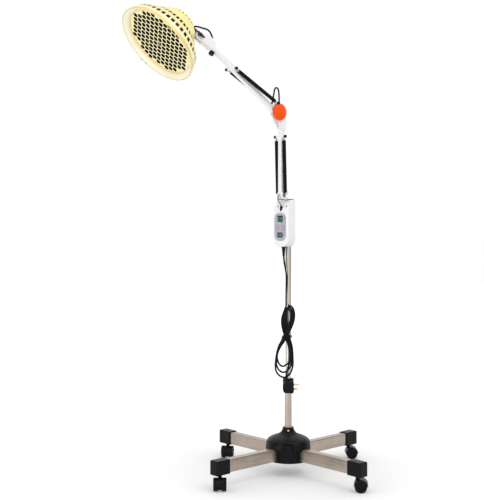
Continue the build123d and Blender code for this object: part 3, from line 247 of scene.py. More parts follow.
def tube(name, points, radius, resolution=10, sides=5):
    """A smooth round cord through control points in metres."""
    curve = bpy.data.curves.new(name, "CURVE")
    curve.dimensions = "3D"
    spline = curve.splines.new("NURBS")
    spline.points.add(len(points) - 1)
    for point, place in zip(spline.points, points):
        point.co = (*place, 1)
    spline.order_u = 3
    spline.use_endpoint_u = True
    spline.resolution_u = resolution
    curve.bevel_depth = radius * MM
    curve.bevel_resolution = sides
    curve.use_fill_caps = True
    piece = bpy.data.objects.new(name, curve)
    bpy.context.scene.collection.objects.link(piece)
    return piece


def dress(piece, finish, body=None):
    """Give a piece its finish and, if one is given, its body."""
    piece.data.materials.clear()
    piece.data.materials.append(FINISHES[finish])
    if body:
        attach(piece, body)
    return piece


# ---- Finishes ---------------------------------------------------------------


class Wire:
    """A shader socket that takes part in Python sums."""

    def __init__(self, finish, socket):
        self.finish = finish
        self.socket = socket

    def __add__(self, other):
        return self.finish.maths("ADD", self, other)

    def __mul__(self, other):
        return self.finish.maths("MULTIPLY", self, other)

    def __sub__(self, other):
        return self.finish.maths("SUBTRACT", self, other)

    def __rsub__(self, other):
        return self.finish.maths("SUBTRACT", other, self)

    __radd__ = __add__
    __rmul__ = __mul__


class Finish:
    """A procedural material, built node by node."""

    def __init__(self, name):
        self.material = bpy.data.materials.new(name)
        self.material.use_nodes = True
        self.tree = self.material.node_tree
        self.shader = self.tree.nodes["Principled BSDF"]

    def feed(self, socket, value):
        if isinstance(value, Wire):
            self.tree.links.new(value.socket, socket)
        elif hasattr(value, "__len__") and len(value) == 3 and socket.type == "RGBA":
            socket.default_value = (*value, 1)
        else:
            socket.default_value = value

    def add(self, kind, settings=(), sockets=(), out=0):
        """Any node: its settings are set first, then its sockets."""
        node = self.tree.nodes.new("ShaderNode" + kind)
        for key, value in dict(settings).items():
            if key == "stops":
                stops = node.color_ramp.elements
                while len(stops) < len(value):
                    stops.new(0.5)
                for stop, (place, colour) in zip(stops, value):
                    stop.position = place
                    stop.color = (*colour, 1)
            else:
                setattr(node, key, value)
        for key, value in dict(sockets).items():
            self.feed(node.inputs[key], value)
        return Wire(self, node.outputs[out])

    def maths(self, operation, *values):
        return self.add("Math", {"operation": operation}, dict(enumerate(values)))

    def axis(self, letter, coords=None):
        split = self.add("SeparateXYZ", sockets={0: coords or self.place()})
        node = split.socket.node
        return Wire(self, node.outputs["XYZ".index(letter)])

    def place(self, stretch=(1, 1, 1)):
        """Object coordinates, stretched."""
        coords = self.add("TexCoord", out=3)
        return self.add("Mapping", sockets={"Vector": coords, "Scale": stretch})

    def normal(self):
        """The normal in object space, which turns with a piece when it is posed."""
        return self.add("TexCoord", out="Normal")

    def vector(self, operation, first, second=None, out=0):
        values = {0: first} if second is None else {0: first, 1: second}
        return self.add("VectorMath", {"operation": operation}, values, out)

    def dot(self, first, second):
        return self.vector("DOT_PRODUCT", first, second, "Value")

    def reach(self):
        """From the middle of the rim to the point that is shaded."""
        return self.vector("SUBTRACT", self.place(), RIM * MM)

    def noise(self, scale, detail=3.0, coords=None, rough=0.55):
        return self.add(
            "TexNoise",
            sockets={
                "Vector": coords or self.place(), "Scale": scale, "Detail": detail, "Roughness": rough,
            },
        )

    def cells(self, scale, feature="F1", coords=None):
        return self.add(
            "TexVoronoi", {"feature": feature}, {"Vector": coords or self.place(), "Scale": scale}
        )

    def clamp(self, value, low, high, start=0.0, end=1.0):
        return self.add(
            "MapRange", {"clamp": True},
            {0: value, 1: low, 2: high, 3: start, 4: end},
        )

    def mix(self, share, first, second):
        return self.add("Mix", {"data_type": "RGBA"}, {0: share, 6: first, 7: second}, out=2)

    def bump(self, height, depth, strength=1.0):
        return self.add("Bump", sockets={"Height": height, "Distance": depth * MM, "Strength": strength})

    def wear(self, amount=1.0):
        """Where a surface looks up and dust can settle, broken up by noise."""
        up = self.axis("Z", self.normal())
        speck = self.clamp(self.noise(55, 6), 0.42, 0.75)
        return self.clamp(up, 0.2, 1.0) * speck * amount

    def done(self, **sockets):
        for key, value in sockets.items():
            self.feed(self.shader.inputs[key.replace("_", " ")], value)
        return self.material


def tint(colour, factor):
    return tuple(min(1.0, c * factor) for c in colour)


def moulded(name, colour, roughness=0.42, grain=1400, depth=0.02, dust=0.04, gleam=0.14, coat=0.0):
    """Moulded plastic: fine grain, cloudy gloss and a little dust on top."""
    f = Finish(name)
    cloud = f.noise(18, 4)
    shade = f.mix(cloud, tint(colour, 0.86), tint(colour, 1.14))
    dusty = f.mix(f.wear(dust), shade, (0.34, 0.33, 0.31))
    gloss = f.clamp(f.noise(60, 5), 0.3, 0.7, roughness - 0.07, roughness + 0.09)
    skin = f.bump(f.noise(grain, 2), depth, 0.6)
    return f.done(
        Base_Color=dusty, Roughness=gloss, Normal=skin, Coat_Weight=coat, Specular_IOR_Level=gleam
    )


def painted(name, colour, shadow, roughness=0.28, peel=420, depth=0.01, soil=0.05, inner=None, inside_shade=None):
    """Sprayed enamel: faint orange peel under a clear gloss, slightly soiled in places; on the lamp's head,
    painted shade and a painted highlight are added by depth behind the rim and by radius.
    """
    f = Finish(name)
    cloud = f.noise(9, 3)
    coat = f.mix(cloud, tint(colour, 0.985), tint(colour, 1.01))
    grime = f.clamp(f.noise(34, 7), 0.5, 0.8, 0, soil)
    tone = f.mix(grime, coat, shadow)
    if inner is not None or inside_shade is not None:
        reach = f.reach()
    if inside_shade is not None:
        outward = f.dot(f.normal(), reach)
        deep = f.dot(reach, -FACING)
        # A paler band some 10 to 30 mm behind the rim is a painted highlight.
        highlight_band = f.clamp(deep, 0.009, 0.012) * f.clamp(deep, 0.016, 0.032, 1, 0)
        tone = f.mix(highlight_band * 0.75, tone, (0.97, 0.93, 0.74))
        # The golden tint within about 10 mm of the rim is painted shade on the rolled lip.
        tone = f.mix(f.clamp(deep, 0.007, 0.011, 0.7, 0), tone, (0.84, 0.64, 0.25))
        # The inside face of the bell, past the lip, takes the near-black inside_shade: painted shade inside
        # the head.
        inside_shade_mask = f.clamp(outward, -0.02, -0.005, 1, 0) * f.clamp(deep, 0.006, 0.01)
        tone = f.mix(inside_shade_mask, tone, inside_shade)
    # Towards the guard the inner colour takes over: painted shade and painted reflection on the ring's inner
    # edge.
    if inner is not None:
        radius = f.vector("LENGTH", f.vector("CROSS_PRODUCT", reach, FACING), out="Value")
        tone = f.mix(f.clamp(radius, 0.1045, 0.112, 0.85, 0), tone, inner)
    gloss = f.clamp(f.noise(26, 5), 0.3, 0.75, roughness, roughness + 0.14)
    skin = f.bump(f.noise(peel, 2), depth, 0.5)
    return f.done(Base_Color=tone, Roughness=gloss, Normal=skin, Coat_Weight=0.25)


def perforated(name, colour, roughness=0.35):
    """Enamelled sheet with the walls of its holes painted near-black: painted shade inside the openings."""
    f = Finish(name)
    flat = f.dot(f.normal(), FACING)
    # Faces that run across the sheet, the walls of the holes, are painted shade.
    hole_wall_shade = f.clamp(f.maths("ABSOLUTE", flat), 0.35, 0.8, 1, 0)
    coat = f.mix(f.noise(9, 3), tint(colour, 0.97), colour)
    bloom = f.clamp(f.noise(40, 6), 0.5, 0.8, 0, 0.08)
    tone = f.mix(hole_wall_shade, f.mix(bloom, coat, (0.75, 0.58, 0.28)), (0.02, 0.015, 0.008))
    gloss = f.clamp(f.noise(26, 5), 0.3, 0.75, roughness, roughness + 0.14)
    return f.done(Base_Color=tone, Roughness=gloss, Normal=f.bump(f.noise(500, 2), 0.01, 0.5))


def shade_backed(name, outer, inner):
    """Stained sheet in ochre, near-black on the side that faces the heater: that black is painted shade
    inside the head.
    """
    f = Finish(name)
    reach = f.reach()
    outward = f.dot(f.normal(), reach)
    stain = f.mix(f.clamp(f.noise(40, 6), 0.35, 0.7), tint(outer, 0.6), tint(outer, 1.2))
    inner_shade = f.mix(f.noise(90, 4), tint(inner, 0.7), tint(inner, 1.3))
    # The side towards the heater takes the near-black inner_shade colour: painted shade.
    tone = f.mix(f.clamp(outward, -0.004, 0.004), inner_shade, stain)
    return f.done(
        Base_Color=tone, Roughness=0.6 + f.noise(60, 4) * 0.2, Normal=f.bump(f.noise(400, 3), 0.02, 0.5),
        Specular_IOR_Level=0.15,
    )


def brushed(name, light, dark, roughness=0.3, stretch=(1, 1, 1), other=None):
    """Drawn or brushed metal: long fine lines, with some cloudy tarnish."""
    f = Finish(name)
    lines = f.noise(1, 8, f.place(stretch), 0.65)
    if other is not None:
        crossing = f.noise(1, 8, f.place(other), 0.65)
        place = f.place()
        along_y = f.maths(
            "GREATER_THAN", f.maths("ABSOLUTE", f.axis("Y", place)), f.maths("ABSOLUTE", f.axis("X", place))
        )
        lines = lines * (1 - along_y) + crossing * along_y
    cloud = f.noise(14, 5)
    tone = f.mix(f.clamp(lines * 0.6 + cloud * 0.4, 0.3, 0.7), dark, light)
    gloss = f.clamp(lines, 0.25, 0.75, roughness - 0.08, roughness + 0.14)
    skin = f.bump(lines, 0.02, 0.4)
    return f.done(Base_Color=tone, Roughness=gloss, Normal=skin, Metallic=1.0)


def chrome(name, colour=(0.56, 0.51, 0.45), roughness=0.1):
    """Plated tube with faint drawing lines along it, fingermarks and tiny pits."""
    f = Finish(name)
    lines = f.noise(1, 6, f.place((900, 900, 6)))
    marks = f.clamp(f.noise(30, 6), 0.5, 0.72)
    pits = f.clamp(f.cells(700), 0.0, 0.06, 1, 0) * f.clamp(f.noise(80, 2), 0.5, 0.6)
    tone = f.mix(pits * 0.6, f.mix(lines, tint(colour, 0.9), tint(colour, 1.1)), (0.2, 0.15, 0.11))
    gloss = roughness + marks * 0.12 + lines * 0.05
    return f.done(Base_Color=tone, Roughness=gloss, Metallic=1.0, Normal=f.bump(lines, 0.01, 0.3))


def rubber(name, colour):
    """Dull rubber or nylon, lighter in scuffed patches."""
    f = Finish(name)
    scuff = f.clamp(f.noise(120, 8), 0.45, 0.8)
    tone = f.mix(scuff * 0.5, colour, tint(colour, 3.2))
    height = f.noise(900, 3)
    return f.done(
        Base_Color=tone, Roughness=0.5 + scuff * 0.3, Normal=f.bump(height, 0.03, 0.6),
        Specular_IOR_Level=0.14,
    )


def printed_film(name, colour):
    """Polyester film with a fine texture and a soft sheen."""
    f = Finish(name)
    weave = f.cells(2600, "SMOOTH_F1")
    tone = f.mix(f.noise(24, 4), tint(colour, 0.93), tint(colour, 1.07))
    return f.done(
        Base_Color=tone, Roughness=0.36 + f.noise(70, 4) * 0.16, Normal=f.bump(weave, 0.01, 0.5)
    )


def smoked_window(name):
    """Dark acrylic over the digits, with hairline scratches."""
    f = Finish(name)
    hair = f.clamp(f.noise(1, 5, f.place((120, 120, 2400))), 0.62, 0.7)
    return f.done(
        Base_Color=f.mix(hair * 0.3, (0.012, 0.008, 0.03), (0.05, 0.05, 0.08)),
        Roughness=0.07 + hair * 0.2, Coat_Weight=1.0, Coat_Roughness=0.03,
    )


def lit(name, colour, strength):
    """Glowing segments, their glow varied by fine noise."""
    f = Finish(name)
    glow = f.mix(f.clamp(f.noise(900, 2), 0.3, 0.7), tint(colour, 0.8), colour)
    return f.done(
        Base_Color=tint(colour, 0.4), Roughness=0.4, Emission_Color=glow, Emission_Strength=strength
    )


def clear_green(name, colour):
    """Green translucent switch plastic with a faint painted glow."""
    f = Finish(name)
    inner = f.noise(160, 3)
    tone = f.mix(inner, tint(colour, 0.72), tint(colour, 1.2))
    # The faint emission gives the switch a painted glow of its own.
    return f.done(
        Base_Color=tone, Roughness=0.16 + inner * 0.08, Coat_Weight=0.6, Subsurface_Weight=0.15,
        Subsurface_Radius=(0.001, 0.004, 0.002), Emission_Color=tone, Emission_Strength=0.06,
        Normal=f.bump(f.noise(700, 2), 0.015, 0.4),
    )


def mineral(name):
    """Sintered black mineral coating: grains, pores and a brownish bloom."""
    f = Finish(name)
    grains = f.cells(900)
    pores = f.clamp(f.noise(420, 8), 0.35, 0.7)
    bloom = f.clamp(f.noise(22, 5), 0.4, 0.75)
    tone = f.mix(bloom, (0.003, 0.0015, 0.0015), (0.008, 0.0045, 0.0035))
    tone = f.mix(f.clamp(grains, 0.0, 0.25, 0.5, 0), tone, (0.014, 0.01, 0.009))
    return f.done(
        Base_Color=tone, Roughness=0.75 + pores * 0.2, Normal=f.bump(pores + grains, 0.08, 0.8),
        Specular_IOR_Level=0.12,
    )


def ceramic(name):
    """Pressed refractory ceramic, chalky, with pinholes."""
    f = Finish(name)
    holes = f.clamp(f.cells(600), 0.0, 0.12)
    tone = f.mix(f.noise(30, 6), (0.62, 0.57, 0.48), (0.78, 0.74, 0.66))
    return f.done(
        Base_Color=tone, Roughness=0.9 + holes * 0.05, Normal=f.bump(holes, 0.1, 0.7)
    )


def circuit(name):
    """Green solder mask over straight tracks and dull pads."""
    f = Finish(name)
    place = f.place()
    tracks = f.maths("PINGPONG", f.axis("Z", place) * 400, 1.0)
    lanes = f.clamp(tracks + f.noise(90, 1) * 0.6, 0.9, 1.0)
    pads = f.clamp(f.cells(260, coords=place), 0.12, 0.16, 1, 0)
    tone = f.mix(lanes, (0.01, 0.11, 0.045), (0.02, 0.2, 0.09))
    return f.done(
        Base_Color=f.mix(pads, tone, (0.7, 0.68, 0.62)), Metallic=pads * 0.8,
        Roughness=0.3 + pads * 0.1, Normal=f.bump(lanes + pads, 0.03, 0.6),
    )


def clear_lens(name, colour):
    """Small amber lens."""
    f = Finish(name)
    return f.done(
        Base_Color=f.mix(f.noise(900, 2), tint(colour, 0.8), colour), Roughness=0.15 + f.noise(500, 2) * 0.1,
        Coat_Weight=1.0, Emission_Color=colour, Emission_Strength=0.1,
    )


FINISHES = {}


def make_finishes(look):
    """Every finish of the lamp, by the slot that it fills."""
    white = tuple(look.enamel)
    cream = tuple(look.shade)
    black = tuple(look.plastic)
    FINISHES.update(
        black_plastic=moulded("Black moulding", black, 0.36),
        castor_tyre=rubber("Castor nylon", (0.004, 0.0037, 0.005)),
        leg_steel=brushed(
            "Brushed leg steel", (0.58, 0.5, 0.43), (0.27, 0.22, 0.18), 0.28,
            (3, 400, 400), (400, 3, 400),
        ),
        mast_chrome=chrome("Mast plating"),
        screw_steel=brushed("Zinc fasteners", (0.6, 0.6, 0.6), (0.4, 0.4, 0.4), 0.3, (300, 300, 300)),
        arm_white=painted("Arm enamel", white, (0.5, 0.47, 0.52), 0.3, 300, 0.006, 0.06),
        box_white=moulded("White housing", white, 0.36, 1100, 0.012, 0.03, 0.45),
        panel_grey=printed_film("Panel film", (0.47, 0.42, 0.5)),
        display_dark=smoked_window("Display window"),
        board_green=circuit("Circuit board"),
        rocker_green=clear_green("Switch green", (0.004, 0.14, 0.09)),
        button_grey=moulded("Button film", (0.5, 0.45, 0.53), 0.4, 1500, 0.008, 0.03),
        cord_black=moulded("Cord jacket", (0.004, 0.0037, 0.005), 0.42, 700, 0.02, 0.05),
        lead_grey=moulded("Grey lead", (0.2, 0.2, 0.23), 0.5, 700, 0.03, 0.05),
        sleeve_black=moulded("Spring sleeve", (0.003, 0.0027, 0.004), 0.45, 500, 0.02, 0.02, 0.1),
        knob_orange=moulded("Orange knob", tuple(look.knob), 0.38, 1300, 0.008, 0.02, 0.2, 0.05),
        hinge_dark=brushed("Hinge hardware", (0.12, 0.12, 0.2), (0.05, 0.05, 0.1), 0.3, (200, 200, 200)),
        # The last colour is the bell's near-black inside: painted shade inside the head.
        shade_cream=painted(
            "Shade enamel", cream, (0.62, 0.46, 0.14), 0.26, 260, 0.012, 0.1, None, (0.03, 0.024, 0.012)
        ),
        # The ring's golden inner colour, near the guard, is painted shade and painted reflection.
        ring_cream=painted(
            "Front ring", tuple(look.ring), (0.75, 0.55, 0.25), 0.3, 300, 0.012, 0.1, (0.8, 0.56, 0.2)
        ),
        guard_cream=perforated("Guard enamel", tuple(look.guard)),
        mineral_black=mineral("Mineral plate"),
        sooty_sheet=shade_backed("Sheet backed with painted shade", (0.85, 0.66, 0.26), (0.006, 0.005, 0.005)),
        heater_ceramic=ceramic("Heater ceramic"),
        # The shield's aluminium is made near-black: painted shade inside the head.
        shield_aluminium=brushed(
            "Shield sheet in painted shade", (0.2, 0.19, 0.17), (0.09, 0.085, 0.08), 0.45, (40, 400, 400)
        ),
        gland_black=moulded("Gland rubber", (0.008, 0.0075, 0.009), 0.5, 600, 0.02, 0.05),
        pin_brass=brushed("Plug pins", (0.72, 0.68, 0.6), (0.5, 0.46, 0.38), 0.25, (60, 600, 600)),
        digit_green=lit("Digit light", (0.01, 1.0, 0.22), 0.4),
        digit_off=moulded("Unlit segment", (0.42, 0.25, 0.27), 0.3, 900, 0.004, 0.0),
        window_rim=moulded("Window rim", (0.05, 0.042, 0.085), 0.3, 900, 0.004, 0.0),
        print_dark=moulded("Dark print", (0.022, 0.012, 0.03), 0.5, 900, 0.004, 0.0),
        print_white=moulded("White print", (0.85, 0.85, 0.85), 0.5, 900, 0.004, 0.0),
        clip_olive=moulded("Rim clips", (0.1, 0.085, 0.05), 0.5, 900, 0.01, 0.1),
        amber=clear_lens("Indicator lens", (0.42, 0.2, 0.05)),
    )


def colour_setting(name, description, default):
    return FloatVectorProperty(name=name, description=description, subtype="COLOR", default=default)


class LampLook(bpy.types.PropertyGroup):
    """Colours that a user would change."""

    shade: colour_setting("Shade", "Enamel of the bell", (0.93, 0.81, 0.29))
    ring: colour_setting("Ring", "Enamel of the front ring", (0.99, 0.93, 0.72))
    guard: colour_setting("Guard", "Enamel of the guard", (0.98, 0.89, 0.5))
    enamel: colour_setting("White", "Arms and control box", (0.93, 0.92, 0.95))
    plastic: colour_setting("Black", "Hub, caps and castors", (0.0035, 0.0032, 0.0045))
    knob: colour_setting("Knob", "Elbow knob", (1.0, 0.088, 0.001))


class LampSizes(bpy.types.PropertyGroup):
    """Sizes of the parts that are not in the frame."""

    cord: FloatProperty(
        name="Mains cord", description="Diameter of the mains cord", unit="LENGTH", default=0.0056
    )
    turns: IntProperty(name="Hank turns", description="Turns of cord in the hank", default=3, min=1, max=4)
    layer: FloatProperty(
        name="Hank layer", description="Half the distance between the hank's layers, mm", default=3.0
    )
    vents: IntProperty(
        name="Vents", description="Openings in each tier of the shade", default=44, min=12, max=60
    )
    opening: FloatProperty(
        name="Guard opening", description="Width of a guard opening across its flats", unit="LENGTH",
        default=0.0136,
    )
    coil_wire: FloatProperty(name="Spring wire", description="Radius of the wire, mm", default=0.6)


class StageSettings(bpy.types.PropertyGroup):
    """Camera and lights."""

    azimuth: FloatProperty(
        name="Azimuth", description="Where the camera stands", subtype="ANGLE", default=math.radians(47.5)
    )
    distance: FloatProperty(name="Distance", description="From the mast", unit="LENGTH", default=3.0)
    height: FloatProperty(name="Height", description="Of the camera", unit="LENGTH", default=0.784)
    lens: FloatProperty(name="Lens", description="Focal length, mm", default=69.7)
    key: FloatProperty(name="Key light", description="Watts", default=17.0)
    fill: FloatProperty(name="Fill light", description="Watts", default=7.0)
    face: FloatProperty(name="Face light", description="Watts, into the mouth of the lamp", default=3.5)
    sky: FloatProperty(name="Sky", description="World strength on the lamp", default=0.88)


# ---- Stage ------------------------------------------------------------------


class HEATLAMP_OT_stage(bpy.types.Operator):
    """Camera, floor, sky and lights"""

    bl_idname = "heatlamp.stage"
    bl_label = "Stage"

    def execute(self, context):
        stage = context.scene.heatlamp_stage
        scene = context.scene
        scene.view_settings.view_transform = "Standard"
        right = Vector((math.cos(stage.azimuth), math.sin(stage.azimuth), 0))
        back = Vector((math.sin(stage.azimuth), -math.cos(stage.azimuth), 0))
        fresh()
        spot = back * stage.distance - right * 0.1432 + Vector((0, 0, stage.height))
        turn = Matrix((right, Vector((0, 0, 1)), back)).transposed().to_4x4()
        bpy.ops.object.camera_add()
        camera = bpy.context.object
        camera.matrix_world = Matrix.Translation(spot) @ turn
        camera.data.lens = stage.lens
        camera.data.shift_y = -0.06
        camera.data.clip_end = 60
        scene.camera = camera

        bpy.ops.mesh.primitive_plane_add(size=16)
        floor = bpy.context.object
        floor.name = "studio_floor"
        f = Finish("Studio floor")
        path = f.add("LightPath")
        camera_ray = Wire(f, path.socket.node.outputs["Is Camera Ray"])
        glossy_ray = Wire(f, path.socket.node.outputs["Is Glossy Ray"])
        seen = f.clamp(camera_ray + glossy_ray, 0, 1)
        paper = f.noise(260, 4)
        f.done(
            Base_Color=f.mix(paper, (0.77, 0.77, 0.775), (0.8, 0.8, 0.805)),
            Roughness=0.9, Emission_Color=(1, 1, 1), Specular_IOR_Level=0.1,
        )
        # The glow rises with distance from the lamp's foot, so the floor is painted darker near the stand: a
        # painted shadow pool, clipping to white further off.
        distance = f.vector("LENGTH", f.place(), out="Value")
        f.feed(f.shader.inputs["Emission Strength"], seen * f.clamp(distance, 0.25, 1.2, 0.16, 0.5))
        floor.data.materials.append(f.material)

        for name, place, size in (
            ("left_flag", right * -2.4 + back * 0.4 + Vector((0, 0, 0.9)), (1.1, 2.6)),
            ("right_flag", right * 2.2 + back * 0.2 + Vector((0, 0, 0.9)), (1.5, 2.6)),
        ):
            bpy.ops.mesh.primitive_plane_add(size=1, location=place)
            flag = bpy.context.object
            flag.name = name
            flag.scale = (*size, 1)
            toward = Vector((0, 0, 0.9)) - place
            flag.rotation_euler = toward.to_track_quat("Z", "Y").to_euler()
            flag.visible_camera = False
            flag.visible_diffuse = False
            flag.visible_shadow = False
            f = Finish(name.replace("_", " ").capitalize())
            f.done(Base_Color=f.mix(f.noise(20, 2), (0.03, 0.03, 0.03), (0.05, 0.05, 0.05)), Roughness=1.0)
            flag.data.materials.append(f.material)

        world = scene.world or bpy.data.worlds.new("Studio")
        scene.world = world
        world.use_nodes = True
        tree = world.node_tree
        tree.nodes.clear()
        out = tree.nodes.new("ShaderNodeOutputWorld")
        sky = tree.nodes.new("ShaderNodeBackground")
        sky.inputs["Color"].default_value = (1, 1, 1, 1)
        rays = tree.nodes.new("ShaderNodeLightPath")
        seen = tree.nodes.new("ShaderNodeMath")
        seen.operation = "MAXIMUM"
        tree.links.new(rays.outputs["Is Camera Ray"], seen.inputs[0])
        tree.links.new(rays.outputs["Is Glossy Ray"], seen.inputs[1])
        level = tree.nodes.new("ShaderNodeMapRange")
        level.inputs["To Min"].default_value = stage.sky
        level.inputs["To Max"].default_value = 1.0
        tree.links.new(seen.outputs[0], level.inputs["Value"])
        tree.links.new(level.outputs[0], sky.inputs["Strength"])
        tree.links.new(sky.outputs[0], out.inputs["Surface"])

        for name, place, aim, size, watts in (
            ("key_softbox", back * 1.4 + right * 1.2 + Vector((0, 0, 2.9)), (0, 0, 0.6), 1.6, stage.key),
            ("fill_softbox", back * 2.6 - right * 1.8 + Vector((0, 0, 1.5)), (0, -0.2, 0.9), 1.5, stage.fill),
            ("face_softbox", (RIM + FACING * 1300) * MM, RIM * MM, 0.8, stage.face),
        ):
            bpy.ops.object.light_add(type="AREA", location=place)
            lamp = bpy.context.object
            lamp.name = name
            lamp.rotation_euler = (Vector(aim) - place).to_track_quat("-Z", "Y").to_euler()
            lamp.data.size = size
            lamp.data.energy = watts
        return {"FINISHED"}


# ---- Finishes of the frame's own nodes --------------------------------------


class HEATLAMP_OT_finishes(bpy.types.Operator):
    """A finish for every part of the frame, by its slot"""

    bl_idname = "heatlamp.finishes"
    bl_label = "Finishes"

    def execute(self, context):
        make_finishes(context.scene.heatlamp_look)
        for name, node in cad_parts.items():
            slot = node.data.materials[0].name.split(".")[0]
            if slot not in FINISHES:
                raise RuntimeError(f"{name} has no finish for {slot}")
            node.data.materials.clear()
            node.data.materials.append(FINISHES[slot])
        return {"FINISHED"}


# ---- Cords ------------------------------------------------------------------

HANK_TURN = math.radians(-42.5)
HANK_OUT = Vector((math.cos(HANK_TURN), math.sin(HANK_TURN), 0))
HANK_ACROSS = Vector((-HANK_OUT.y, HANK_OUT.x, 0))


def hank_point(across, height, out):
    return (HANK_OUT * out + HANK_ACROSS * across + Vector((0, 0, height))) * MM


def ribbed(length, wide, narrow, inner, ribs):
    """Profile of a tapering rubber boot with grooves round it."""
    profile = [(inner, 0), (wide, 0)]
    for i in range(ribs):
        top = length * (0.12 + 0.8 * i / ribs)
        radius = wide + (narrow - wide) * top / length
        step = length * 0.8 / ribs
        profile += [
            (radius, top), (radius - 0.7, top + step * 0.12),
            (radius - 0.75, top + step * 0.35), (radius - 0.1, top + step * 0.5),
        ]
    return profile + [(narrow, length * 0.94), (narrow - 0.3, length), (inner, length)]


class HEATLAMP_OT_plug(bpy.types.Operator):
    """The mains plug with its grips, boot and three flat pins"""

    bl_idname = "heatlamp.plug"
    bl_label = "Plug"

    def execute(self, context):
        place = frame_matrix(HANK_OUT * 18.5, HANK_ACROSS, HANK_OUT)
        outline = [
            (-18, 262), (-16, 257), (-12, 253.5), (12, 252.5), (15, 254), (15, 288), (12, 289.5),
            (0, 290), (-12, 286), (-17, 281), (-18, 277),
        ]
        shell = smooth(prism("shell", outline, 19, place, 2.6, 5), 50)
        grips = [
            block("grip", (1.5, 19, 1.4), place @ Matrix.Translation(mm(x, 270, z)), 0.6, 3)
            for x in (-11, -7.5, -4, -0.5) for z in (0.2, 18.8)
        ]
        face = block("face", (1.2, 31, 15.5), place @ Matrix.Translation(mm(15, 271, 9.5)), 0.5, 3)
        boot = turned(
            "boot", ribbed(22, 5.4, 3.6, 2.6, 6), 32, HANK_OUT * 28 + HANK_ACROSS * -7 + Vector((0, 0, 286)),
            HANK_ACROSS, (0, 0, 1),
        )
        body = joined([shell, *grips, face, smooth(boot, 50)], "mains_plug")
        dress(body, "cord_black", "mast")
        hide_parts("plug")
        pins = []
        for out, height, lean in ((23.5, 265, 30), (32.5, 265, -30), (28, 279, 0)):
            angle = math.radians(lean)
            middle = HANK_OUT * out + HANK_ACROSS * 24 + Vector((0, 0, height))
            wide = HANK_OUT * math.cos(angle) - Vector((0, 0, 1)) * math.sin(angle)
            pins.append(block("pin", (1.8, 6.3, 18), frame_matrix(middle, wide, HANK_ACROSS), 0.7, 3))
        dress(smooth(joined(pins, "plug_pins")), "pin_brass", "mast")
        return {"FINISHED"}


class HEATLAMP_OT_cord_fittings(bpy.types.Operator):
    """The boot under the control box and the tie that holds the hank to the post"""

    bl_idname = "heatlamp.cord_fittings"
    bl_label = "Cord fittings"

    def execute(self, context):
        boot = turned("cord_boot", ribbed(27, 5.9, 3.5, 2.7, 8), 40, (0, -20, 699.4), (1, 0, 0), (0, 0, -1))
        dress(smooth(boot, 50), "gland_black", "mast")
        loop = [
            (-21, 27), (-21, 34.5), (-12, 35), (4, 35), (8.5, 33), (10.8, 8), (10.8, -6), (6, -11.4),
            (-6, -11.4), (-11.5, -6), (-12, 4), (-20, 20),
        ]
        wraps = [
            hank_point(across, 422.4 + 3.2 * turn + 1.6 * i / len(loop), out)
            for turn in range(2) for i, (across, out) in enumerate(loop)
        ]
        tie = settle(tube("hank_tie", wraps + [wraps[0] + mm(0, 0, 5)], 1.1, 6, 4), "hank_tie")
        dress(smooth(tie, 60), "cord_black", "mast")
        return {"FINISHED"}


class HEATLAMP_OT_mains_cord(bpy.types.Operator):
    """The mains cord, from its gland down to the hank on the mast and its plug"""

    bl_idname = "heatlamp.mains_cord"
    bl_label = "Mains cord"

    def execute(self, context):
        sizes = context.scene.heatlamp_sizes
        route = [
            mm(*p)
            for p in (
                (0, -20, 690), (0, -20, 672), (1.5, -18.8, 652), (6, -16.4, 630), (9, -16, 608),
                (8.8, -16.6, 582), (8.6, -17.6, 556), (10.6, -19.6, 536), (14.2, -22.6, 519),
            )
        ]
        middle = 26.6
        step = sizes.layer
        for k in range(sizes.turns):
            low = 334 - 20 * k + 1.5 * k * k
            for across, height, out in (
                (-15 + 4 * k, 502 - 2 * k, 0.3), (-22 + 5 * k, 478, -0.8), (-19 + 5.6 * k, 450, -1),
                (-10 + 6 * k, 424, -1), (0 + 5.4 * k, 398, -1), (5 + 4 * k, 370, -1),
                (5 + 4.5 * k, 344 - 6 * k, -0.7), (-5 + 4 * k, low + 8, -0.2), (-18 + 2 * k, low - 2, 0.3),
                (-32 - 1.5 * k, low + 10, 0.6), (-37 - 3 * k, low + 34, 0.9), (-28 - 3 * k, 392, 1),
                (-12 - 4.5 * k, 414, 1), (1 - 6 * k, 438, 1), (14 - 5 * k, 466, 1), (19 - 5.5 * k, 492, 0.9),
                (14 - 4.5 * k, 515 - 4 * k, 0.5), (1 - 2 * k, 524 - 6 * k, 0.1),
            ):
                route.append(hank_point(across, height, middle + step * out))
        for across, height, out in (
            (-5, 500, -0.2), (-6, 470, 0), (-1, 440, 0.2), (4, 410, 0.3), (6, 380, 0.4), (4, 350, 0.5),
            (-3, 328, 0.4), (-7, 312, 0.4), (-7, 302, 0.4),
        ):
            route.append(hank_point(across, height, middle + step * out))
        cord = tube("mains_cord_run", route, sizes.cord / MM / 2, 6, 5)
        dress(cord, "cord_black", "mast")
        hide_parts("mains_cord", "cord_hank")
        bpy.context.view_layer.update()
        probe = cord.copy()
        probe.data = cord.data.copy()
        probe.data.bevel_depth = 0
        run = bpy.data.meshes.new_from_object(probe)
        bpy.data.objects.remove(probe)
        return {"FINISHED"}


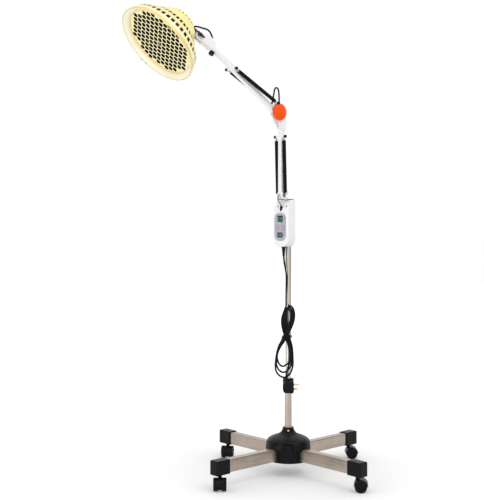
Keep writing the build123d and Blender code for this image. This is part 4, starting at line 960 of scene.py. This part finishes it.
class HEATLAMP_OT_arm_cables(bpy.types.Operator):
    """The lead that runs through the arms: its three stretches in the open"""

    bl_idname = "heatlamp.arm_cables"
    bl_label = "Arm cables"

    def execute(self, context):
        foot = [
            mm(*p)
            for p in (
                (0, -39.4, 862), (0, -43.8, 859), (0, -45, 851.5), (0, -43, 843), (0, -38, 836.5),
                (0, -32.6, 832), (0, -30.5, 827.2), (0, -30.5, 823.5),
            )
        ]
        loop = [arm_point(28, 4) * MM, arm_point(27, 17) * MM] + [
            mm(*p)
            for p in (
                (0, -64.5, 1160.3), (0, -61, 1175), (0, -57.8, 1187), (0, -49.3, 1190.2),
                (0, -42.4, 1184.4), (0, -40.2, 1170), (0, -39.6, 1154), (0, -38.6, 1138),
                (0, -35, 1122), (0, -31.6, 1109), (0, -31.5, 1099),
            )
        ]
        top = [
            head_point(13, 31, 117.5 + 1.5) * MM, head_point(13, 31, 117.5 + 10.5) * MM,
            mm(11.5, -372, 1331), mm(7.5, -353, 1330), mm(4.5, -336, 1330.2), mm(1.5, -322, 1326.5),
            mm(1.5, -314, 1316), knuckle_point(318, 20) * MM, knuckle_point(318, 12) * MM,
        ]
        for name, points, radius, node, slot, bodies in (
            ("foot_lead", foot, 2.0, "base_cable", "lead_grey", ("arm_base", "mast")),
            ("elbow_lead", loop, 2.5, "elbow_cable", "cord_black", ("upper_arm", "lower_arm")),
            ("head_lead", top, 2.5, "head_cable", "cord_black", ("head", "knuckle_fork")),
        ):
            cord = settle(tube(name, points, radius, 8, 4), name)
            smooth(cord, 60)
            dress(cord, slot)
            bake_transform(cord)
            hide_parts(node)
        return {"FINISHED"}


# ---- Springs ----------------------------------------------------------------

LOWER_SPRING = (Vector((0, -29.5, 867)), Vector((0, -35, 1040)), -2.0, 12.0)
SLEEVE_X = 16.3
SLEEVE_RADIUS = 5.7
SLEEVE_BORE = 4.6
HOOK_RADIUS = 3.1
COIL_RADIUS = 3.0
COIL_PITCH = 1.9
CAP_RADIUS = 4.7
CAP_LENGTH = 6.2
CAP_OUT = 5.8  # from the middle of a sleeve to the middle of its pin cap
UPPER_SPRING = (Vector((0, -63.4, 1139.7)), arm_point(214, -4), 12.0, 14.5)


def helix(start, end, radius, turns, per_turn=10):
    """Points of a coil from start to end, all in mm, returned in metres."""
    along = (end - start).normalized()
    side = Vector((1, 0, 0))
    across = along.cross(side)
    count = int(turns * per_turn)
    points = []
    for i in range(count + 1):
        angle = 2 * math.pi * i / per_turn
        centre = start.lerp(end, i / count)
        points.append((centre + (side * math.cos(angle) + across * math.sin(angle)) * radius) * MM)
    return points


class HEATLAMP_OT_springs(bpy.types.Operator):
    """Balance springs: hooks, end coils and black sleeves"""

    bl_idname = "heatlamp.springs"
    bl_label = "Springs"

    def execute(self, context):
        wire = context.scene.heatlamp_sizes.coil_wire
        for name, node, (start, end, low_gap, high_gap), bodies in (
            ("lower", "lower_springs", LOWER_SPRING, ("arm_base", "lower_arm")),
            ("upper", "upper_springs", UPPER_SPRING, ("lower_arm", "upper_arm")),
        ):
            along = (end - start).normalized()
            across = along.cross(Vector((1, 0, 0)))
            sleeves = []
            wires = []
            for x in (-SLEEVE_X, SLEEVE_X):
                side = Vector((x, 0, 0))
                first = start + side + along * low_gap
                last = end + side - along * high_gap
                length = (last - first).length
                profile = [
                    (SLEEVE_BORE, 2.0), (SLEEVE_BORE, 0.2), (5.0, 0.0), (5.5, 0.3), (SLEEVE_RADIUS, 1.2),
                ]
                rings = 24
                for i in range(1, rings):
                    h = length * i / rings
                    profile += [(SLEEVE_RADIUS, h - 1.1), (5.67, h), (SLEEVE_RADIUS, h + 1.1)]
                profile += [
                    (SLEEVE_RADIUS, length - 1.2), (5.5, length - 0.3), (5.0, length),
                    (SLEEVE_BORE, length - 0.2), (SLEEVE_BORE, length - 2.0),
                ]
                sleeves.append(
                    smooth(turned(f"{name}_sleeve", profile, 32, first, (1, 0, 0), along), 60)
                )
                for pin, mouth, sign in ((start + side, first, 1), (end + side, last, -1)):
                    inward = along * sign
                    gap = (mouth - pin).length
                    hook = [
                        (pin + across * -HOOK_RADIUS * math.cos(a) + inward * -HOOK_RADIUS * math.sin(a)) * MM
                        for a in [math.pi * (0.25 * i - 0.35) for i in range(5)]
                    ]
                    hook.reverse()
                    coil_start = pin + inward * min(4.6, gap * 0.7)
                    coil_end = mouth + inward * 4
                    turns = max(2, int((coil_end - coil_start).length / COIL_PITCH))
                    coil = helix(coil_start, coil_end, COIL_RADIUS, turns)
                    wires.append(settle(tube("hook", hook + coil, wire, 4, 2), "hook"))
            sleeve = joined(sleeves, f"{name}_spring_sleeves")
            coil = joined(wires, f"{name}_spring_wires")
            smooth(coil, 70)
            dress(sleeve, "sleeve_black")
            dress(coil, "screw_steel")
            for piece in (sleeve, coil):
                tuple(start * MM)
                tuple(end * MM)
                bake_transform(piece)
            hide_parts(node)
            caps = []
            for pin in (start, end):
                if name == "lower" and pin is start:
                    continue
                for x in (-1, 1):
                    spot = pin + Vector((x * (SLEEVE_X + CAP_OUT), 0, 0))
                    place = frame_matrix(spot, (0, 1, 0), (x, 0, 0))
                    caps.append(disc("cap", CAP_RADIUS, CAP_LENGTH, place, 1.5, 24))
            owner = {"lower": "lower_arm", "upper": "upper_arm"}[name]
            if name == "upper":
                inner = joined(caps[:2], "elbow_pin_caps")
                dress(inner, "gland_black", "lower_arm")
                caps = caps[2:]
            dress(joined(caps, f"{name}_pin_caps"), "gland_black", owner)
        return {"FINISHED"}


# ---- Vented shade -----------------------------------------------------------

BELL = [(8, 122.5), (30, 114.5), (50, 97), (70, 78), (84, 66), (98, 58)]  # behind the rim, radius
ROLLED_LIP = [(122.0, -0.2), (122.9, 0.1), (123.3, 0.9), (123.1, 1.9), (122.6, 2.6), (122.5, 5)]
VENTS = ((19, 20.7, 30.3, 32), (48.5, 50.5, 62.5, 64.5))  # rows of each tier of vents


def bell_radius(behind):
    """Radius of the bell, by a smooth curve through its known sections."""
    spans = zip([BELL[0]] + BELL[:-2], BELL, BELL[1:], BELL[2:] + [BELL[-1]])
    for (b0, r0), (b1, r1), (b2, r2), (b3, r3) in spans:
        if behind <= b2:
            t = (behind - b1) / (b2 - b1)
            m1 = (r2 - r0) / (b2 - b0) * (b2 - b1)
            m2 = (r3 - r1) / (b3 - b1) * (b2 - b1)
            rise = t * t * (3 - 2 * t)
            return r1 + (r2 - r1) * rise + m1 * (t**3 - 2 * t * t + t) + m2 * (t**3 - t * t)
    return BELL[-1][1]


class HEATLAMP_OT_shade(bpy.types.Operator):
    """The bell with its rolled lip and two tiers of vents"""

    bl_idname = "heatlamp.shade"
    bl_label = "Vented shade"

    def execute(self, context):
        count = context.scene.heatlamp_sizes.vents
        levels = [8, 12, 16, *VENTS[0], 34, 38, 42, 46, *VENTS[1], 68, 72, 76, 80, 84, 88, 93, 98]
        profile = ROLLED_LIP + [(bell_radius(b), b) for b in levels] + [(49, 98), (40, 98)]
        cuts = (0.0, 0.17, 0.24, 0.76, 0.83)  # columns of one vent, in shares of its pitch
        columns = len(cuts) * count
        points = []
        for radius, behind in profile:
            for k in range(columns):
                angle = 2 * math.pi * (k // len(cuts) + cuts[k % len(cuts)]) / count
                points.append(mm(radius * math.cos(angle), radius * math.sin(angle), behind))
        first = len(ROLLED_LIP)
        open_rows = {
            first + levels.index(tier[step]): step for tier in VENTS for step in range(3)
        }
        faces = []
        for row in range(len(profile) - 1):
            for k in range(columns):
                low, high = row * columns, (row + 1) * columns
                ahead = (k + 1) % columns
                quad = [low + k, low + ahead, high + ahead, high + k]
                step, side = open_rows.get(row), k % len(cuts) - 1
                if step is None or side not in (0, 1, 2):
                    faces.append(quad)
                elif step != 1 and side != 1:
                    # A corner of the vent keeps the half that lies outside it
                    inner = {(0, 0): 2, (0, 2): 3, (2, 0): 1, (2, 2): 0}[step, side]
                    faces.append([v for i, v in enumerate(quad) if i != inner])
        mesh = bpy.data.meshes.new("vented_shade")
        mesh.from_pydata(points, [], faces)
        shade = bpy.data.objects.new("vented_shade", mesh)
        context.scene.collection.objects.link(shade)
        select(shade)
        bpy.ops.object.mode_set(mode="EDIT")
        bpy.ops.mesh.select_all(action="SELECT")
        bpy.ops.mesh.normals_make_consistent(inside=False)
        bpy.ops.object.mode_set(mode="OBJECT")
        modifier(shade, "SOLIDIFY", thickness=1.4 * MM, offset=-1)
        shade = settle(shade, "vented_shade", frame_matrix(RIM, TILT_AXIS, -FACING))
        dress(smooth(shade, 40), "shade_cream", "head")
        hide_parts("shade")
        return {"FINISHED"}


# ---- Guard and shield -------------------------------------------------------

GUARD = {"radius": 108.5, "behind": 14.0, "sheet": 1.0, "pitch": 16.8, "field": 99.0, "turn": 16.1}


class HEATLAMP_OT_guard(bpy.types.Operator):
    """The pressed guard with its honeycomb of openings, and the shield's skirt behind it"""

    bl_idname = "heatlamp.guard"
    bl_label = "Guard"

    def execute(self, context):
        opening = context.scene.heatlamp_sizes.opening / MM
        turn = math.radians(GUARD["turn"])
        across = TILT_AXIS * math.cos(turn) + HEAD_UP * math.sin(turn)
        place = frame_matrix(RIM - FACING * GUARD["behind"], across, -FACING)
        fresh()
        bpy.ops.mesh.primitive_cylinder_add(
            vertices=128, radius=GUARD["radius"] * MM, depth=GUARD["sheet"] * MM,
            location=mm(0, 0, GUARD["sheet"] / 2),
        )
        plate = bpy.context.object
        step = GUARD["pitch"] * math.sqrt(3) / 2
        rows = int(GUARD["field"] / step) + 1
        cutters = []
        for row in range(-rows, rows + 1):
            for column in range(-rows - 1, rows + 2):
                x = GUARD["pitch"] * (column + 0.5 * (row % 2) - 0.25)
                y = step * (row + 0.5)
                if math.hypot(x, y) < GUARD["field"]:
                    cutters.append((x, y))
        mesh = bpy.data.meshes.new("cutters")
        points, faces = [], []
        reach = opening / math.sqrt(3)
        for x, y in cutters:
            low = len(points)
            for height in (-3, 4):
                for i in range(6):
                    angle = math.pi / 6 + math.pi * i / 3
                    points.append(mm(x + reach * math.cos(angle), y + reach * math.sin(angle), height))
            high = low + 6
            faces.append(list(range(low, high))[::-1])
            faces.append(list(range(high, high + 6)))
            for i in range(6):
                ahead = (i + 1) % 6
                faces.append([low + i, low + ahead, high + ahead, high + i])
        mesh.from_pydata(points, [], faces)
        cutter = bpy.data.objects.new("cutters", mesh)
        context.scene.collection.objects.link(cutter)
        modifier(plate, "BOOLEAN", operation="DIFFERENCE", object=cutter, solver="EXACT")
        bpy.data.objects.remove(cutter)
        modifier(plate, "BEVEL", width=0.2 * MM, segments=1, limit_method="ANGLE", angle_limit=0.6)
        guard = settle(plate, "honeycomb_guard", place)
        dress(guard, "guard_cream", "head")
        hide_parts("guard")
        profile = [(92.6, 33), (94.5, 32.6), (97, 30.4), (105.6, 18.2), (106.6, 17.1), (107.6, 17)]
        skirt = turned("shield_skirt", profile, 128, RIM, TILT_AXIS, -FACING)
        modifier(skirt, "SOLIDIFY", thickness=0.8 * MM, offset=0)
        # Its near-black inner face is painted shade behind the guard.
        dress(smooth(skirt), "sooty_sheet", "head")
        return {"FINISHED"}


# ---- Small fittings ---------------------------------------------------------


class HEATLAMP_OT_fittings(bpy.types.Operator):
    """Clips on the rim of the lamp and the washer at the top of the hub's neck"""

    bl_idname = "heatlamp.fittings"
    bl_label = "Fittings"

    def execute(self, context):
        clips = []
        for degrees, behind in ((160, 1.2), (152.5, 1.4), (144.3, 1.8), (98.5, 3.0)):
            angle = math.radians(degrees)
            out = TILT_AXIS * math.cos(angle) + HEAD_UP * math.sin(angle)
            round_rim = HEAD_UP * math.cos(angle) - TILT_AXIS * math.sin(angle)
            spot = RIM + out * 122.3 - FACING * behind
            clips.append(block("clip", (7.5, 3.4, 1.4), frame_matrix(spot, round_rim, out), 0.5, 3))
        dress(joined(clips, "rim_clips"), "clip_olive", "head")
        washer = turned(
            "neck_washer",
            [
                (11.15, 0), (14.8, 0), (15.2, 0.4), (15.2, 1.1), (14.6, 1.6), (12.0, 1.9), (11.15, 1.7),
                (11.15, 0),
            ],
            64, (0, 0, 144.05),
        )
        dress(smooth(washer), "screw_steel", "base")
        return {"FINISHED"}


# ---- Control panel ----------------------------------------------------------

SEGMENTS = {
    "a": (0, 1, False), "g": (0, 0, False), "d": (0, -1, False),
    "f": (-1, 0.5, True), "b": (1, 0.5, True), "e": (-1, -0.5, True), "c": (1, -0.5, True),
}
SHOWN = ((-6.2, "abcdg"), (5.0, "abcdef"))  # middle of each digit and its lit bars
WINDOW_Z = 788
BUTTON_X = 12
BUTTON_Z = 762
LENS_X = 20.3
LENS_Z = 791


def segment(centre, key):
    """One bar of a digit, with pointed ends, leaning with the digit."""
    x, z, upright = SEGMENTS[key]
    long, wide = (2.5 if upright else 2.2), 0.6
    bar = [
        (-long, 0), (-long + wide, wide), (long - wide, wide),
        (long, 0), (long - wide, -wide), (-long + wide, -wide),
    ]
    if upright:
        bar = [(b, a) for a, b in bar]
    outline = [(x * 2.35 + a + 0.12 * (z * 5.25 + b), z * 5.25 + b) for a, b in bar]
    return prism("bar", outline, 0.1, facing_front(centre, WINDOW_Z - 0.4))


class HEATLAMP_OT_panel(bpy.types.Operator):
    """Digits, window rim, printed words and button rings of the control panel"""

    bl_idname = "heatlamp.panel"
    bl_label = "Control panel"

    def execute(self, context):
        glowing, dull = [], []
        for centre, keys in SHOWN:
            for key in SEGMENTS:
                (glowing if key in keys else dull).append(segment(centre, key))
            dull.append(disc("dot", 0.6, 0.2, facing_front(centre + 3.9, WINDOW_Z - 5.8), 0.04, 16))
        dress(joined(glowing, "display_digits"), "digit_green", "mast")
        dress(joined(dull, "display_unlit"), "digit_off", "mast")

        bars = []
        for x, z, wide, tall in (
            (0, 9.3, 23.3, 0.8), (0, -9.3, 23.3, 0.8), (-11.3, 0, 0.8, 18), (11.3, 0, 0.8, 18),
        ):
            bars.append(block("bar", (wide, tall, 0.16), facing_front(x, WINDOW_Z + z), 0.05, 1))
        dress(joined(bars, "window_rim"), "window_rim", "mast")

        words = [
            lettering("TIME", 2.2, -12, 751.4), lettering("TEMP", 2.2, 12, 751.4),
            lettering("OFF", 2.5, -16, 741), lettering("ON", 2.5, 16, 741),
            lettering("关", 2.5, -16, 735.9), lettering("开", 2.5, 16, 735.9),
            lettering("时间/温度显示", 1.75, 1.5, 775.4), lettering("min", 1.5, 14.6, 780),
            lettering("工作指示", 1.35, 18.6, 786),
        ]
        dress(joined(words, "panel_words"), "print_dark", "mast")
        for name, x, characters, body in (
            ("time_word", -BUTTON_X, "时间", "time_key"), ("temp_word", BUTTON_X, "温度", "temp_key"),
        ):
            pair = [lettering(c, 3.1, x + d, BUTTON_Z, -36.4) for c, d in zip(characters, (-3, 3))]
            dress(joined(pair, name), "print_dark", body)

        rings = [
            turned(
                "ring", [(inner, 0), (inner, 0.08), (outer, 0.08), (outer, 0)], 64,
                (x, PANEL_Y, z), (1, 0, 0), (0, -1, 0),
            )
            for x, z, inner, outer in (
                (-BUTTON_X, BUTTON_Z, 7.15, 7.6), (BUTTON_X, BUTTON_Z, 7.15, 7.6),
                (LENS_X, LENS_Z, 1.7, 2.15),
            )
        ]
        dress(joined(rings, "panel_rings"), "print_dark", "mast")

        lens = turned(
            "indicator_lens", [(1.62, -1), (1.6, 0.1), (1.3, 0.5), (0.8, 0.75), (0, 0.85)], 32,
            (LENS_X, PANEL_Y, LENS_Z), (1, 0, 0), (0, -1, 0),
        )
        dress(smooth(lens, 60), "amber", "mast")
        return {"FINISHED"}


class HEATLAMP_OT_rocker(bpy.types.Operator):
    """White marks on the rocker"""

    bl_idname = "heatlamp.rocker"
    bl_label = "Rocker marks"

    def execute(self, context):
        tilt = math.radians(10)
        pivot = Vector((0, -32.4, 738))
        out = Vector((math.sin(tilt), -math.cos(tilt), 0))
        across = Vector((math.cos(tilt), math.sin(tilt), 0))
        face = pivot + out * 5.22
        ring = turned(
            "ring", [(1.3, -0.1), (1.3, 0.08), (1.75, 0.08), (1.75, -0.1)], 32,
            face - across * 4.1, across, out,
        )
        bar = block("bar", (2.8, 0.6, 0.16), frame_matrix(face + across * 4.0, across, out), 0.05, 1)
        marks = joined([ring, bar], "rocker_marks")
        dress(marks, "print_white", "rocker_key")
        return {"FINISHED"}


STEPS = (
    "finishes", "stage", "plug", "cord_fittings", "mains_cord", "arm_cables", "springs", "shade",
    "guard", "fittings", "panel", "rocker",
)


class HEATLAMP_PT_parts(bpy.types.Panel):
    """The lamp's pieces, in the order they are made"""

    bl_idname = "HEATLAMP_PT_parts"
    bl_label = "Heat lamp"
    bl_space_type = "VIEW_3D"
    bl_region_type = "UI"
    bl_category = "Heat Lamp"

    def draw(self, context):
        for group in ("look", "sizes", "stage"):
            settings = getattr(context.scene, f"heatlamp_{group}")
            box = self.layout.box()
            for key in settings.__annotations__:
                box.prop(settings, key)
        for step in STEPS:
            self.layout.operator(f"heatlamp.{step}")


CLASSES = (
    LampLook, LampSizes, StageSettings, HEATLAMP_OT_stage, HEATLAMP_OT_finishes, HEATLAMP_OT_plug,
    HEATLAMP_OT_cord_fittings, HEATLAMP_OT_mains_cord, HEATLAMP_OT_arm_cables, HEATLAMP_OT_springs,
    HEATLAMP_OT_shade, HEATLAMP_OT_guard, HEATLAMP_OT_fittings, HEATLAMP_OT_panel, HEATLAMP_OT_rocker,
    HEATLAMP_PT_parts,
)


def register():
    for item in CLASSES:
        bpy.utils.register_class(item)
    bpy.types.Scene.heatlamp_look = PointerProperty(type=LampLook)
    bpy.types.Scene.heatlamp_sizes = PointerProperty(type=LampSizes)
    bpy.types.Scene.heatlamp_stage = PointerProperty(type=StageSettings)


def unregister():
    for group in ("look", "sizes", "stage"):
        delattr(bpy.types.Scene, f"heatlamp_{group}")
    for item in reversed(CLASSES):
        bpy.utils.unregister_class(item)


def main():
    register()
    for step in STEPS:
        getattr(bpy.ops.heatlamp, step)()


if __name__ == "__main__":
    main()
